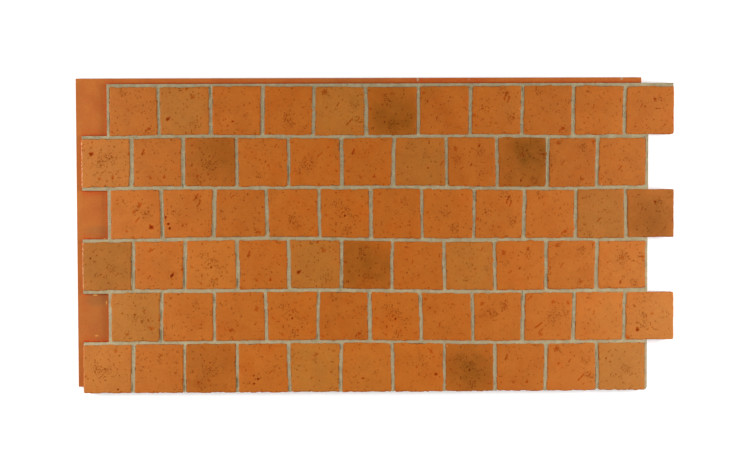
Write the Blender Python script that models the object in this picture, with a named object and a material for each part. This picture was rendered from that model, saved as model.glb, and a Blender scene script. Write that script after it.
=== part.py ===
# Faux tile wall panel: one moulded sheet of rigid foam that shows six courses of square
# terracotta tiles in running bond, with half-lapped edges that lock into the next panel.
# Metres, +Z up. The panel lies on its back: X runs along the courses, Y up the wall and
# Z out of the wall. The origin is the middle of the back face.

import math

import bmesh
import bpy
import numpy as np

# Face layout
TILE_SIDE = 0.1016
JOINT_WIDTH = 0.00635
COLUMNS = 11
ROWS = 6

# Section
PANEL_THICKNESS = 0.0222
FLANGE_THICKNESS = 0.0095
TILE_RISE = 0.0034
LAP = 0.0127
LAP_CLEARANCE = 0.0005
FIT_GAP = 0.0006
GROUT_SETBACK = 0.0014

# Form of one tile
CORNER_RADIUS = 0.0036
CORNER_SPREAD = 0.0016
SMALLEST_RADIUS = 0.0009
EDGE_WIDTH = 0.0022
EDGE_DROP = 0.0012
EDGE_SHOULDER = 0.3  # share of the edge's width and drop that its outer facet takes
WALL_LEAN = 0.0004
CROWN = 0.0005
LIPPAGE = 0.0006

# How far the sides of the master's hand-made tiles stray from the true square
EDGE_SHIFT = 0.0007
EDGE_LEAN = 0.0003
EDGE_BOW = 0.0003

# How far the hand-laid joints stray from the true grid
JOINT_SHIFT = 0.0012
JOINT_LEAN = 0.0014
JOINT_BOW = 0.0005
UPRIGHT_SQUEEZE = 0.0010
BED_WAVE = 0.0008
BED_WAVE_LENGTH = 0.55
LAYING_SEED = 24

# How far the master's courses drift to the right, and its bed joints upwards, top first:
# at the middle of the panel, and in opposite ways at its two quarters
COURSE_DRIFT = (
    (-0.0010, -0.0020),
    (0.0075, -0.0030),
    (0.0075, 0.0),
    (0.0050, 0.0),
    (0.0045, 0.0),
    (0.0040, -0.0010),
)
BED_DRIFT = (
    (0.0, 0.0),
    (0.0006, 0.0004),
    (0.0016, 0.0012),
    (0.0013, 0.0023),
    (0.0014, 0.0021),
    (0.0017, 0.0012),
    (0.0, 0.0),
)

# Facets
CORNER_STEPS = 2

# Worked out from the sizes above
PITCH = TILE_SIDE + JOINT_WIDTH
STAGGER = PITCH / 2
MODULE_LENGTH = COLUMNS * PITCH
MODULE_HEIGHT = ROWS * PITCH
PLATE_LEFT = -MODULE_LENGTH / 2
PLATE_RIGHT = MODULE_LENGTH / 2
PLATE_BOTTOM = -MODULE_HEIGHT / 2
PLATE_TOP = MODULE_HEIGHT / 2
FACE_LEFT = PLATE_LEFT + LAP
FACE_RIGHT = PLATE_RIGHT + LAP
FACE_BOTTOM = PLATE_BOTTOM - LAP
FACE_TOP = PLATE_TOP - LAP
GROUT_LEVEL = PANEL_THICKNESS - TILE_RISE
TILE_ROOT = FLANGE_THICKNESS / 2
CUT_MARGIN = LAP

LEFT, RIGHT, BOTTOM, TOP = range(4)
SHIFT, LEAN, BOW = range(3)


def clear_scene():
    for leftover in list(bpy.data.objects):
        bpy.data.objects.remove(leftover)


# Materials

def paint(name, colour, roughness):
    material = bpy.data.materials.new(name)
    material.use_nodes = True
    surface = material.node_tree.nodes["Principled BSDF"]
    surface.inputs["Base Color"].default_value = (*colour, 1.0)
    surface.inputs["Roughness"].default_value = roughness
    surface.inputs["Metallic"].default_value = 0.0
    return material


def panel_paints():
    # The same order on every object, so that a Boolean keeps each face's own paint.
    return [
        paint("base_coat", (0.50, 0.15, 0.035), 0.55),
        paint("grout_paint", (0.36, 0.32, 0.22), 0.9),
        paint("terracotta_paint", (0.48, 0.14, 0.025), 0.5),
    ]


BASE_COAT, GROUT_PAINT, TERRACOTTA_PAINT = range(3)


# Layout: where the courses and the tiles lie

def projects(row):
    # Every other course, from the top one, is shifted half a tile towards the right.
    return row % 2 == 0


def tile_corner(row, column):
    # Lower left corner of a tile on the true grid.
    shift = STAGGER + JOINT_WIDTH if projects(row) else 0.0
    return FACE_LEFT + shift + column * PITCH, FACE_TOP - (row + 1) * PITCH


def course_span(row):
    # Lower and upper line of the tiles in a course.
    low = FACE_TOP - (row + 1) * PITCH
    return low, low + TILE_SIDE


def free_sides(row, column):
    # The sides of a tile that are an outer edge of the panel, or of its half-tile tongue.
    sides = set()
    if row == ROWS - 1:
        sides.add(BOTTOM)
    if projects(row) and column == COLUMNS - 1:
        sides.update((RIGHT, BOTTOM))
        if row > 0:
            sides.add(TOP)
    if not projects(row) and column == 0:
        sides.add(LEFT)
    return sides


def slow_drift(drift, lines, share):
    # Shift of the given joint lines at a share of the panel's length, and its lean along
    # one tile: half a sine wave and a whole one.
    middle, quarter = np.array([drift[line % len(drift)] for line in lines]).T[:, :, None]
    angle = np.pi * share
    shift = middle * np.sin(angle) + quarter * np.sin(2.0 * angle)
    slope = middle * np.cos(angle) + 2.0 * quarter * np.cos(2.0 * angle)
    return shift, slope * np.pi * TILE_SIDE / 2 / MODULE_LENGTH


def bed_wave(phases, lines):
    # Shift, lean and bow of every tile's side along the slow waves of its bed joint.
    middles = np.array(
        [
            [tile_corner(row, column)[0] + TILE_SIDE / 2 for column in range(COLUMNS)]
            for row in range(ROWS)
        ]
    )
    angle = 2.0 * np.pi * (middles / BED_WAVE_LENGTH + phases[:, None])
    wave = np.zeros((ROWS, COLUMNS, 3))
    shift, lean = slow_drift(BED_DRIFT, lines, (middles - FACE_LEFT) / MODULE_LENGTH)
    wave[..., SHIFT] = BED_WAVE * np.sin(angle) + shift
    wave[..., LEAN] = BED_WAVE * np.cos(angle) * np.pi * TILE_SIDE / BED_WAVE_LENGTH + lean
    return wave


def laying_errors():
    # One shift, lean and bow for each side of each tile, outwards positive. The two tiles
    # beside a joint share the joint's own error, so that its width changes little.
    generator = np.random.default_rng(LAYING_SEED)
    own = generator.uniform(-1.0, 1.0, size=(ROWS, COLUMNS, 4, 3))
    own *= (EDGE_SHIFT, EDGE_LEAN, EDGE_BOW)
    upright = generator.uniform(-1.0, 1.0, size=(ROWS, COLUMNS - 1, 3))
    upright *= (JOINT_SHIFT, JOINT_LEAN, JOINT_BOW)
    upright[..., SHIFT] += slow_drift(
        COURSE_DRIFT, range(ROWS), np.arange(1, COLUMNS) / COLUMNS
    )[0]
    phases = generator.uniform(0.0, 1.0, size=ROWS + 1)
    errors = own.copy()
    errors[:, :-1, RIGHT] += upright
    errors[:, 1:, LEFT] -= upright
    errors[:, :-1, RIGHT, SHIFT] += UPRIGHT_SQUEEZE / 2
    errors[:, 1:, LEFT, SHIFT] += UPRIGHT_SQUEEZE / 2
    errors[:, :, TOP] += bed_wave(phases[:-1], range(ROWS))
    errors[:, :, BOTTOM] -= bed_wave(phases[1:], range(1, ROWS + 1))
    # A free side stays inside its module line, so that the next panel fits.
    slack = FIT_GAP / (EDGE_SHIFT + EDGE_LEAN + EDGE_BOW) / 2
    for row in range(ROWS):
        for column in range(COLUMNS):
            for side in free_sides(row, column):
                errors[row, column, side] = own[row, column, side] * slack
                errors[row, column, side, SHIFT] -= FIT_GAP / 2
    return errors


def corner_radii():
    generator = np.random.default_rng(LAYING_SEED + 1)
    spread = generator.uniform(-1.0, 1.0, size=(ROWS, COLUMNS, 4))
    return CORNER_RADIUS + CORNER_SPREAD * spread


def face_heights():
    generator = np.random.default_rng(LAYING_SEED + 2)
    return generator.uniform(0.0, LIPPAGE, size=(ROWS, COLUMNS))


# Form of one tile

def side_offset(error, share):
    # A side's distance from its true line, share 0 to 1 of the way along it.
    along = 2.0 * share - 1.0
    return error[SHIFT] + error[LEAN] * along + error[BOW] * (1.0 - along**2)


def strayed(point, errors):
    # A point of the true square, moved with the sides of its hand-laid tile.
    across, up = point[0] / TILE_SIDE, point[1] / TILE_SIDE
    left = -side_offset(errors[LEFT], up)
    right = side_offset(errors[RIGHT], up)
    bottom = -side_offset(errors[BOTTOM], across)
    top = side_offset(errors[TOP], across)
    return (
        point[0] + left * (1.0 - across) + right * across,
        point[1] + bottom * (1.0 - up) + top * up,
    )


def rounded_square(inset, radii):
    # Outline of the true square, counter-clockwise: an arc at each corner and one point
    # at the middle of each side, all of it set in by inset.
    points = []
    corners = ((1, 1, 0), (0, 1, 1), (0, 0, 2), (1, 0, 3))
    for (right, top, quarter), radius in zip(corners, radii):
        bend = max(radius - inset, SMALLEST_RADIUS)
        reach = inset + bend
        centre_x = TILE_SIDE - reach if right else reach
        centre_y = TILE_SIDE - reach if top else reach
        for step in range(CORNER_STEPS + 1):
            angle = (quarter + step / CORNER_STEPS) * math.pi / 2
            points.append(
                (centre_x + bend * math.cos(angle), centre_y + bend * math.sin(angle))
            )
        turn = (quarter + 1) * math.pi / 2
        half = TILE_SIDE / 2
        points.append(
            (
                half + (half - inset) * math.cos(turn),
                half + (half - inset) * math.sin(turn),
            )
        )
    return points


def tile_block(bm, row, column, errors, radii, drop):
    # A lofted block: straight walls from inside the backing, a rounded edge and a slightly
    # crowned face.
    corner_x, corner_y = tile_corner(row, column)
    rim = PANEL_THICKNESS - CROWN - drop
    sections = (
        (0.0, TILE_ROOT),
        (WALL_LEAN, rim - EDGE_DROP),
        (WALL_LEAN + EDGE_SHOULDER * EDGE_WIDTH, rim - EDGE_SHOULDER * EDGE_DROP),
        (WALL_LEAN + EDGE_WIDTH, rim),
    )
    rings = []
    for inset, height in sections:
        outline = [strayed(point, errors) for point in rounded_square(inset, radii)]
        rings.append(
            [bm.verts.new((corner_x + x, corner_y + y, height)) for x, y in outline]
        )
    count = len(rings[0])
    for lower, upper in zip(rings, rings[1:]):
        for i in range(count):
            j = (i + 1) % count
            bm.faces.new((lower[i], lower[j], upper[j], upper[i]))
    bm.faces.new(rings[0][::-1])
    half = TILE_SIDE / 2
    top = bm.verts.new((corner_x + half, corner_y + half, rim + CROWN))
    for i in range(count):
        bm.faces.new((rings[-1][i], rings[-1][(i + 1) % count], top))


# Solids

def add_object(name, bm, paints, paint_index, helper=False):
    bmesh.ops.recalc_face_normals(bm, faces=bm.faces)
    mesh = bpy.data.meshes.new(name)
    bm.to_mesh(mesh)
    bm.free()
    for material in paints:
        mesh.materials.append(material)
    mesh.polygons.foreach_set("material_index", [paint_index] * len(mesh.polygons))
    obj = bpy.data.objects.new(name, mesh)
    bpy.context.scene.collection.objects.link(obj)
    if helper:
        obj.hide_render = True
        obj.display_type = "WIRE"
    return obj


def prism(name, outline, low, high, paints, paint_index, helper=False):
    bm = bmesh.new()
    floor = bm.faces.new([bm.verts.new((x, y, low)) for x, y in outline])
    raised = bmesh.ops.extrude_face_region(bm, geom=[floor])["geom"]
    corners = [item for item in raised if isinstance(item, bmesh.types.BMVert)]
    bmesh.ops.translate(bm, verts=corners, vec=(0.0, 0.0, high - low))
    return add_object(name, bm, paints, paint_index, helper)


def combine(obj, name, operation, other):
    modifier = obj.modifiers.new(name, "BOOLEAN")
    modifier.operation = operation
    modifier.solver = "EXACT"
    modifier.object = other


def blank(paints):
    # The whole block before its edges are rebated. Its front is the grout level.
    low, high = FACE_BOTTOM + GROUT_SETBACK, PLATE_TOP
    left, right = PLATE_LEFT, FACE_RIGHT + STAGGER + CUT_MARGIN
    outline = [(left, low), (right, low), (right, high), (left, high)]
    panel = prism("tile_panel", outline, 0.0, GROUT_LEVEL, paints, BASE_COAT)
    for face in panel.data.polygons:
        if face.normal.z > 0.5:
            face.material_index = GROUT_PAINT
    return panel


def all_tiles(paints):
    errors = laying_errors()
    radii = corner_radii()
    drops = face_heights()
    bm = bmesh.new()
    for row in range(ROWS):
        for column in range(COLUMNS):
            tile_block(
                bm, row, column, errors[row, column], radii[row, column], drops[row, column]
            )
    return add_object("tile_blocks", bm, paints, TERRACOTTA_PAINT, helper=True)


def flange_cut(paints):
    # Clears the flange at the left and the top, with a pocket at each shifted course for
    # the next panel's half-tile tongue. The top course's pocket is open upwards.
    far = CUT_MARGIN
    outline = [(PLATE_LEFT - far, FACE_BOTTOM - far)]
    edge = FACE_LEFT + GROUT_SETBACK
    outline.append((edge, FACE_BOTTOM - far))
    for row in reversed(range(ROWS)):
        if not projects(row):
            continue
        low, high = course_span(row)
        pocket_end = FACE_LEFT + STAGGER
        outline += [(edge, low), (pocket_end, low)]
        if row > 0:
            outline += [(pocket_end, high), (edge, high)]
    outline += [
        (FACE_LEFT + STAGGER, FACE_TOP),
        (FACE_RIGHT + STAGGER + 2 * far, FACE_TOP),
        (FACE_RIGHT + STAGGER + 2 * far, PLATE_TOP + far),
        (PLATE_LEFT - far, PLATE_TOP + far),
    ]
    high = PANEL_THICKNESS + far
    return prism("flange_cut", outline, FLANGE_THICKNESS, high, paints, BASE_COAT, True)


def notch_cut(paints):
    # Cuts back the right side of the courses that aren't shifted, which leaves the
    # half-tile tongues of the others.
    far = FACE_RIGHT + STAGGER + 2 * CUT_MARGIN
    tongue = FACE_RIGHT + STAGGER - GROUT_SETBACK
    outline = [(far, FACE_BOTTOM - CUT_MARGIN), (FACE_RIGHT, FACE_BOTTOM - CUT_MARGIN)]
    for row in reversed(range(ROWS)):
        if not projects(row):
            continue
        low, high = course_span(row)
        outline += [(FACE_RIGHT, low + GROUT_SETBACK), (tongue, low + GROUT_SETBACK)]
        if row > 0:
            outline += [(tongue, high - GROUT_SETBACK), (FACE_RIGHT, high - GROUT_SETBACK)]
    outline += [(tongue, PLATE_TOP + CUT_MARGIN), (far, PLATE_TOP + CUT_MARGIN)]
    high = PANEL_THICKNESS + CUT_MARGIN
    return prism("notch_cut", outline, -CUT_MARGIN, high, paints, BASE_COAT, True)


def back_rebate(paints):
    # Relieves the back along the right and the bottom, where the next panel's flange goes.
    right = FACE_RIGHT + STAGGER + 2 * CUT_MARGIN
    bottom = FACE_BOTTOM - CUT_MARGIN
    left, top = PLATE_LEFT - CUT_MARGIN, PLATE_TOP + CUT_MARGIN
    outline = [
        (left, bottom),
        (right, bottom),
        (right, top),
        (PLATE_RIGHT, top),
        (PLATE_RIGHT, PLATE_BOTTOM),
        (left, PLATE_BOTTOM),
    ]
    depth = FLANGE_THICKNESS + LAP_CLEARANCE
    return prism("back_rebate", outline, -CUT_MARGIN, depth, paints, BASE_COAT, True)


def build_panel():
    paints = panel_paints()
    panel = blank(paints)
    combine(panel, "flange_and_pockets", "DIFFERENCE", flange_cut(paints))
    combine(panel, "tongues", "DIFFERENCE", notch_cut(paints))
    combine(panel, "tiles", "UNION", all_tiles(paints))
    combine(panel, "rear_lap", "DIFFERENCE", back_rebate(paints))
    return panel


clear_scene()
build_panel()
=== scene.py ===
import functools
import math

import bmesh
import bpy
import numpy as np
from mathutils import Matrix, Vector


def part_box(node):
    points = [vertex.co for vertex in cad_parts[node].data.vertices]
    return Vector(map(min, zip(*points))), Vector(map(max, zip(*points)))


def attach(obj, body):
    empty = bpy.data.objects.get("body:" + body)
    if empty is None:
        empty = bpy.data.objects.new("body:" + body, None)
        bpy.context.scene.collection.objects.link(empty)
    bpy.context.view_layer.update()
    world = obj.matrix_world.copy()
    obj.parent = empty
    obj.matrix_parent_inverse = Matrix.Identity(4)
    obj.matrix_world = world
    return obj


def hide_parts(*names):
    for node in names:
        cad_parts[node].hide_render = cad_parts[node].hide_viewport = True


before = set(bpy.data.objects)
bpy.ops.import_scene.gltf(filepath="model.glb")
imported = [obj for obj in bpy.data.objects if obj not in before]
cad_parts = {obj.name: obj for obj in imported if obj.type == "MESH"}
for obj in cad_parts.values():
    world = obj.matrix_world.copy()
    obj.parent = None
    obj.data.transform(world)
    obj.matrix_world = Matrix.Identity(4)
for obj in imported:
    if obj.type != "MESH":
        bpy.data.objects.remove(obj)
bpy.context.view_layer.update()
print("frame loaded")


# Layout. The panel is one module of the tiling, so the frame's box gives the pitch.
layout = {
    "rows": 6,
    "columns": 11,
    "joint": 0.00635,
    "lap": 0.0127,
    "flange": 0.0095,  # thickness of the half-lap flange
    "lapClearance": 0.0005,
    "tileRise": 0.0034,  # from the grout up to a tile's face
    "groutSetback": 0.0014,
    "fitGap": 0.0006,
}
# How the hand-laid tiles and joints stray from the true grid, in metres
laying = {
    "seed": 24,
    "edge": (0.0007, 0.0003, 0.0003),  # shift, lean and bow of a tile's own side
    "joint": (0.0012, 0.0014, 0.0005),  # the same for an upright joint
    "squeeze": 0.0006,  # less than the solid's, for the grout rubbed over the tiles' upright edges
    "bedSqueeze": 0.0003,  # the tiles' outlines are bitten, so they reach further up and down
    "bedWave": 0.0008,
    "bedWaveLength": 0.55,
    # drift to the right of each course and upwards of each bed joint, from the top: at the
    # panel's middle, and in opposite ways at its quarters
    "courseDrift": [(-0.0010, -0.0020), (0.0075, -0.0030), (0.0075, 0.0), (0.0050, 0.0),
                    (0.0045, 0.0), (0.0040, -0.0010)],
    "bedDrift": [(0.0, 0.0), (0.0006, 0.0004), (0.0016, 0.0012), (0.0013, 0.0023),
                 (0.0014, 0.0021), (0.0017, 0.0012), (0.0, 0.0)],
    "cornerRadius": 0.0036,
    "cornerSpread": 0.0016,
    "crown": 0.0005,
    "lippage": 0.0006,
}

rows, columns = layout["rows"], layout["columns"]
joint, lap = layout["joint"], layout["lap"]
boxLow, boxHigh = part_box("tile_panel")
pitch = 2 * boxHigh.y / rows
tileSide = pitch - joint
stagger = pitch / 2
plateLeft, plateRight = -columns * pitch / 2, columns * pitch / 2
plateBottom, plateTop = -rows * pitch / 2, rows * pitch / 2
faceLeft, faceRight = plateLeft + lap, plateRight + lap
faceBottom, faceTop = plateBottom - lap, plateTop - lap
thickness = 0.0222
flangeTop = layout["flange"]
lapLevel = layout["flange"] + layout["lapClearance"]
groutLevel = thickness - layout["tileRise"]
leftSide, rightSide, bottomSide, topSide = range(4)


def projects(row):
    return row % 2 == 0  # these courses reach half a tile further right


def tileCorner(row, column):
    # lower left corner of a tile's true square, courses counted from the top
    shift = stagger + joint if projects(row) else 0.0
    return faceLeft + shift + column * pitch, faceTop - (row + 1) * pitch


def courseSpan(row):
    low = faceTop - (row + 1) * pitch
    return low, low + tileSide


def freeSides(row, column):
    # sides that are an outer edge of the panel or of its half-tile tongue
    sides = set()
    if row == rows - 1:
        sides.add(bottomSide)
    if projects(row) and column == columns - 1:
        sides.update((rightSide, bottomSide))
        if row > 0:
            sides.add(topSide)
    if not projects(row) and column == 0:
        sides.add(leftSide)
    return sides


def slowDrift(drift, share):
    # Shift of the joint lines at a share of the panel's length, middle sin(pi s) plus
    # quarter sin(2 pi s), and its slope times half a tile.
    middle, quarter = np.array(drift).T[:, :, None]
    angle = np.pi * share
    shift = middle * np.sin(angle) + quarter * np.sin(2 * angle)
    slope = middle * np.cos(angle) + 2 * quarter * np.cos(2 * angle)
    return shift, slope * np.pi * tileSide / 2 / (columns * pitch)


def bedWave(phases, drift):
    # Shift and lean of each tile's side on a bed joint: a sine wave of the tile's middle
    # and the slow drift, and their slope times half a tile.
    middles = np.array([[tileCorner(row, column)[0] + tileSide / 2
                         for column in range(columns)] for row in range(rows)])
    angle = 2 * np.pi * (middles / laying["bedWaveLength"] + phases[:, None])
    wave = np.zeros((rows, columns, 3))
    shift, lean = slowDrift(drift, (middles - faceLeft) / (columns * pitch))
    wave[..., 0] = laying["bedWave"] * np.sin(angle) + shift
    wave[..., 1] = lean + laying["bedWave"] * np.cos(angle) * (
        np.pi * tileSide / laying["bedWaveLength"])
    return wave


def layingErrors():
    # Shift, lean and bow of every side of every tile, outwards positive. Both tiles beside
    # a joint share the joint's own error. The CAD solid follows this formula too, with a
    # tighter squeeze and none along the beds.
    draw = np.random.default_rng(laying["seed"])
    own = draw.uniform(-1, 1, size=(rows, columns, 4, 3)) * laying["edge"]
    upright = draw.uniform(-1, 1, size=(rows, columns - 1, 3)) * laying["joint"]
    upright[..., 0] += slowDrift(laying["courseDrift"], np.arange(1, columns) / columns)[0]
    phases = draw.uniform(0, 1, size=rows + 1)
    errors = own.copy()
    errors[:, :-1, rightSide] += upright
    errors[:, 1:, leftSide] -= upright
    errors[:, :-1, rightSide, 0] += laying["squeeze"] / 2
    errors[:, 1:, leftSide, 0] += laying["squeeze"] / 2
    errors[:, :, topSide] += bedWave(phases[:-1], laying["bedDrift"][:-1])
    errors[:, :, bottomSide] -= bedWave(phases[1:], laying["bedDrift"][1:])
    errors[:, :, (topSide, bottomSide), 0] += laying["bedSqueeze"] / 2
    slack = layout["fitGap"] / sum(laying["edge"]) / 2
    for row in range(rows):
        for column in range(columns):
            for side in freeSides(row, column):
                errors[row, column, side] = own[row, column, side] * slack
                errors[row, column, side, 0] -= layout["fitGap"] / 2
    return errors


sideErrors = layingErrors()
# Tiles of the lowest course that end short of the outer line: tile: (shift, lean)
shortTiles = {5: (-0.0007, 0.0002), 8: (-0.0005, 0.0), 9: (-0.0009, 0.0005),
              10: (-0.0008, -0.0004), 11: (-0.0012, 0.0003)}
for tile, shortfall in shortTiles.items():
    sideErrors[rows - 1, tile - 1, bottomSide, :2] += shortfall
sideErrors[0, 0, leftSide, 0] += 0.0010  # the first tile stands close to its pocket
cornerRadii = laying["cornerRadius"] + laying["cornerSpread"] * np.random.default_rng(
    laying["seed"] + 1).uniform(-1, 1, size=(rows, columns, 4))
# Corners that are worn rounder: (course, tile, corner from the upper right anticlockwise, mm)
wornCorners = [
    (1, 9, 2, 6.0), (1, 10, 2, 6.0), (1, 11, 1, 5.0), (1, 11, 2, 6.5), (1, 11, 3, 7.0),
    (2, 10, 0, 5.5), (2, 11, 2, 6.0), (2, 11, 3, 5.5), (5, 1, 3, 9.0), (5, 2, 2, 5.5),
    (5, 6, 2, 6.5), (5, 11, 0, 5.0), (5, 11, 3, 5.0), (6, 1, 2, 5.0), (6, 4, 0, 5.5),
    (6, 5, 0, 6.0), (6, 6, 0, 6.0), (6, 9, 0, 7.5), (6, 10, 1, 6.0), (6, 10, 3, 7.0),
    (6, 11, 2, 6.0), (6, 11, 3, 7.5), (2, 1, 0, 5.5), (2, 3, 2, 7.0), (2, 3, 3, 6.0),
    (2, 9, 3, 6.5), (3, 1, 3, 6.5), (3, 2, 3, 5.5), (3, 9, 2, 6.0), (4, 3, 0, 6.0),
    (4, 9, 1, 7.5), (4, 11, 2, 7.0),
]
for course, tile, corner, radiusMm in wornCorners:
    cornerRadii[course - 1, tile - 1, corner] = radiusMm / 1000
faceDrops = np.random.default_rng(laying["seed"] + 2).uniform(
    0, laying["lippage"], size=(rows, columns))


# Helpers for meshes and fields

def smooth(t):
    # a soft step, 3t^2 - 2t^3 between 0 and 1
    t = np.clip(t, 0, 1)
    return t * t * (3 - 2 * t)


def cloud(x, y, cell, seed):
    # Value noise: random numbers on a square lattice of the given cell, blended smoothly
    # between the lattice points. About -1 to 1.
    lattice = np.random.default_rng(seed).uniform(-1, 1, size=(128, 128))
    u, v = x / cell + 57.3, y / cell + 31.7
    i, j = np.floor(u).astype(int), np.floor(v).astype(int)
    s, t = smooth(u - i), smooth(v - j)
    i0, i1, j0, j1 = i % 128, (i + 1) % 128, j % 128, (j + 1) % 128
    low = lattice[j0, i0] * (1 - s) + lattice[j0, i1] * s
    high = lattice[j1, i0] * (1 - s) + lattice[j1, i1] * s
    return low * (1 - t) + high * t


def gridQuads(across, up):
    # corner numbers of the cells of a grid of vertices, anticlockwise from above
    number = np.arange(across * up).reshape(up, across)
    return np.stack([number[:-1, :-1], number[:-1, 1:], number[1:, 1:], number[1:, :-1]],
                    axis=-1).reshape(-1, 4)


def buildMesh(name, points, quads, attributes, caps=()):
    # quads and a few many-sided caps become one mesh, with its numbers for each vertex
    loops = np.concatenate([quads.ravel(), *caps]).astype(np.int32)
    sizes = np.array([4] * len(quads) + [len(cap) for cap in caps])
    starts = (np.cumsum(sizes) - sizes).astype(np.int32)
    mesh = bpy.data.meshes.new(name)
    mesh.vertices.add(len(points))
    mesh.vertices.foreach_set("co", points.astype(np.float32).ravel())
    mesh.loops.add(len(loops))
    mesh.loops.foreach_set("vertex_index", loops)
    mesh.polygons.add(len(sizes))
    mesh.polygons.foreach_set("loop_start", starts)
    mesh.update(calc_edges=True)
    mesh.validate()
    for label, values in attributes.items():
        kind = "FLOAT_VECTOR" if values.ndim == 2 else "FLOAT"
        field = mesh.attributes.new(label, kind, "POINT")
        key = "vector" if values.ndim == 2 else "value"
        field.data.foreach_set(key, values.astype(np.float32).ravel())
    return mesh


def finishPiece(name, mesh, materials):
    # materials, soft shading but for edges over 50 degrees, and what the frame has to know
    for material in materials:
        mesh.materials.append(material)
    mesh.shade_smooth()
    mesh.set_sharp_from_angle(angle=math.radians(50))
    piece = bpy.data.objects.new(name, mesh)
    bpy.context.scene.collection.objects.link(piece)
    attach(piece, "root")
    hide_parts("tile_panel")
    mesh.calc_loop_triangles()
    print(name, len(mesh.loop_triangles), "triangles")


# Materials

def linear(hexColour):
    # sRGB hex to linear
    parts = [int(hexColour[i:i + 2], 16) / 255 for i in (1, 3, 5)]
    return tuple(c / 12.92 if c <= 0.04045 else ((c + 0.055) / 1.055) ** 2.4
                 for c in parts) + (1.0,)


def addNode(tree, kind, *values, **settings):
    # Adds one node, its operation named after its kind. Values go to its live inputs in
    # their order, or by name from a dictionary. A node is linked by its first live output.
    kind, _, operation = kind.partition(" ")
    node = tree.nodes.new("ShaderNode" + kind)
    if operation:
        node.operation = operation
    for name, value in settings.items():
        setattr(node, name, value)
    pairs = list(zip([socket for socket in node.inputs if socket.enabled], values))
    if values and isinstance(values[0], dict):
        pairs = [(node.inputs[name], value) for name, value in values[0].items()]
    for socket, value in pairs:
        if isinstance(value, bpy.types.Node):
            value = next(output for output in value.outputs if output.enabled)
        if isinstance(value, bpy.types.NodeSocket):
            tree.links.new(value, socket)
        else:
            socket.default_value = value
    return node


def newMaterial(name, fields=""):
    # an empty material, its adder of nodes, the place on the panel and the mesh's fields
    material = bpy.data.materials.new(name)
    material.use_nodes = True
    material.node_tree.nodes.clear()
    add = functools.partial(addNode, material.node_tree)
    read = [add("Attribute", attribute_name=field).outputs["Fac"] for field in fields.split()]
    return material, add, add("TexCoord").outputs["Object"], *read


def growPatterns(add, place, patterns):
    # Each pattern is noise at a real size: (mm, detail, roughness), as it is and stretched
    # from a low and high of its own to those given.
    noise, spread = {}, {}
    for name, (sizeMm, detail, roughness, *stretch) in patterns.items():
        noise[name] = add("TexNoise", place, 1000 / sizeMm, detail, roughness)
        if stretch:
            spread[name] = add("MapRange", noise[name], *stretch)
    return noise, spread


def finishSurface(add, colour, roughness, gloss, relief, depth, strength):
    # the shader, with the relief as a bump of the given depth in metres
    bump = add("Bump", {"Height": relief, "Distance": depth, "Strength": strength})
    add("OutputMaterial", add("BsdfPrincipled", {
        "Base Color": colour, "Roughness": roughness, "Specular IOR Level": gloss,
        "Normal": bump}))


tilePaint = {
    "body": "#b76421",
    "flush": "#b55917",  # redder clouds
    "ochre": "#b06d2b",
    "haze": "#b97c47",  # painted sheen: paler towards the panel's ends, where the lamps' gloss falls
    "smoke": "#6e4208",  # reached where the smoke attribute is 1
    "wash": "#d4aa3f",  # see-through wash, multiplied onto the colour below it, and painted shade on the upright edges that face away from the nearer lamp
    "blush": "#f3c36c",  # the same where it is thin, in the shallow marks
    "pit": "#5e1c00",  # the wash left in the deepest pits
    "rub": "#e6ad86",  # scuffed edges, and painted highlights on the edges that face the nearer lamp
    "chip": "#e8c28c",
    "onMaster": {
        "ragged": (1.6, 2.5, 0.5, 0.3, 0.7, -0.2, 0.2),
        "mottle": (6.5, 4.0, 0.7, 0.3, 0.7, -0.06, 0.06),
        "grain": (1.6, 3.0, 0.5, 0.3, 0.7, -0.05, 0.05),
    },
    "onPanel": {
        "nibble": (5.0, 3.0, 0.5, 0.3, 0.7, -0.7, 0.5),
        "cloudy": (38.0, 2.0, 0.5, 0.3, 0.7, 0.95, 1.05),
        "drift": (24.0, 2.0, 0.5, 0.3, 0.7, 0.75, 1.15),
        "flush": (34.0, 3.0, 0.5, 0.45, 0.7, 0.0, 0.6),
    },
    "speckMm": 3.9,  # spacing of the finest pits
    "pull": (0.006, 0.006, 0.0),  # how far noise pulls them out of shape
    "pitRadius": (0.30, 0.13),  # spread and least, as shares of their spacing
    "pitTear": 0.5,
    "pitEdge": (-0.02, 0.06),  # where a pit begins and where it is full
    "pitStrength": (0.5, 0.6),  # spread and least
    "pepper": (0.4, 0.3),  # noise below which it begins, and where it is full
    "pepperShare": (1.0, 0.25),  # with the density of the pits, and everywhere
    "markTear": (3.0, 1.0),
    # Ranges of a torn mark and of what lies along the edges: from, to, and what they give
    "worn": (0.18, 0.62),
    "deep": (0.5, 1.0, 0.0, 0.95),
    "core": (1.1, 1.6),
    "pooledAndShaded": (0.25, 0.85, 0.0, 0.75),
    "rubbedAndLit": (-0.3, 0.1),
    "toneStep": 0.03,
    "reliefShares": (0.12, -0.45),  # of the grain and of the worn marks
    "relief": (0.0007, 0.9),  # depth in metres, and strength
    "roughness": (0.42, 0.52),
    "gloss": 0.05,
}


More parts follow.
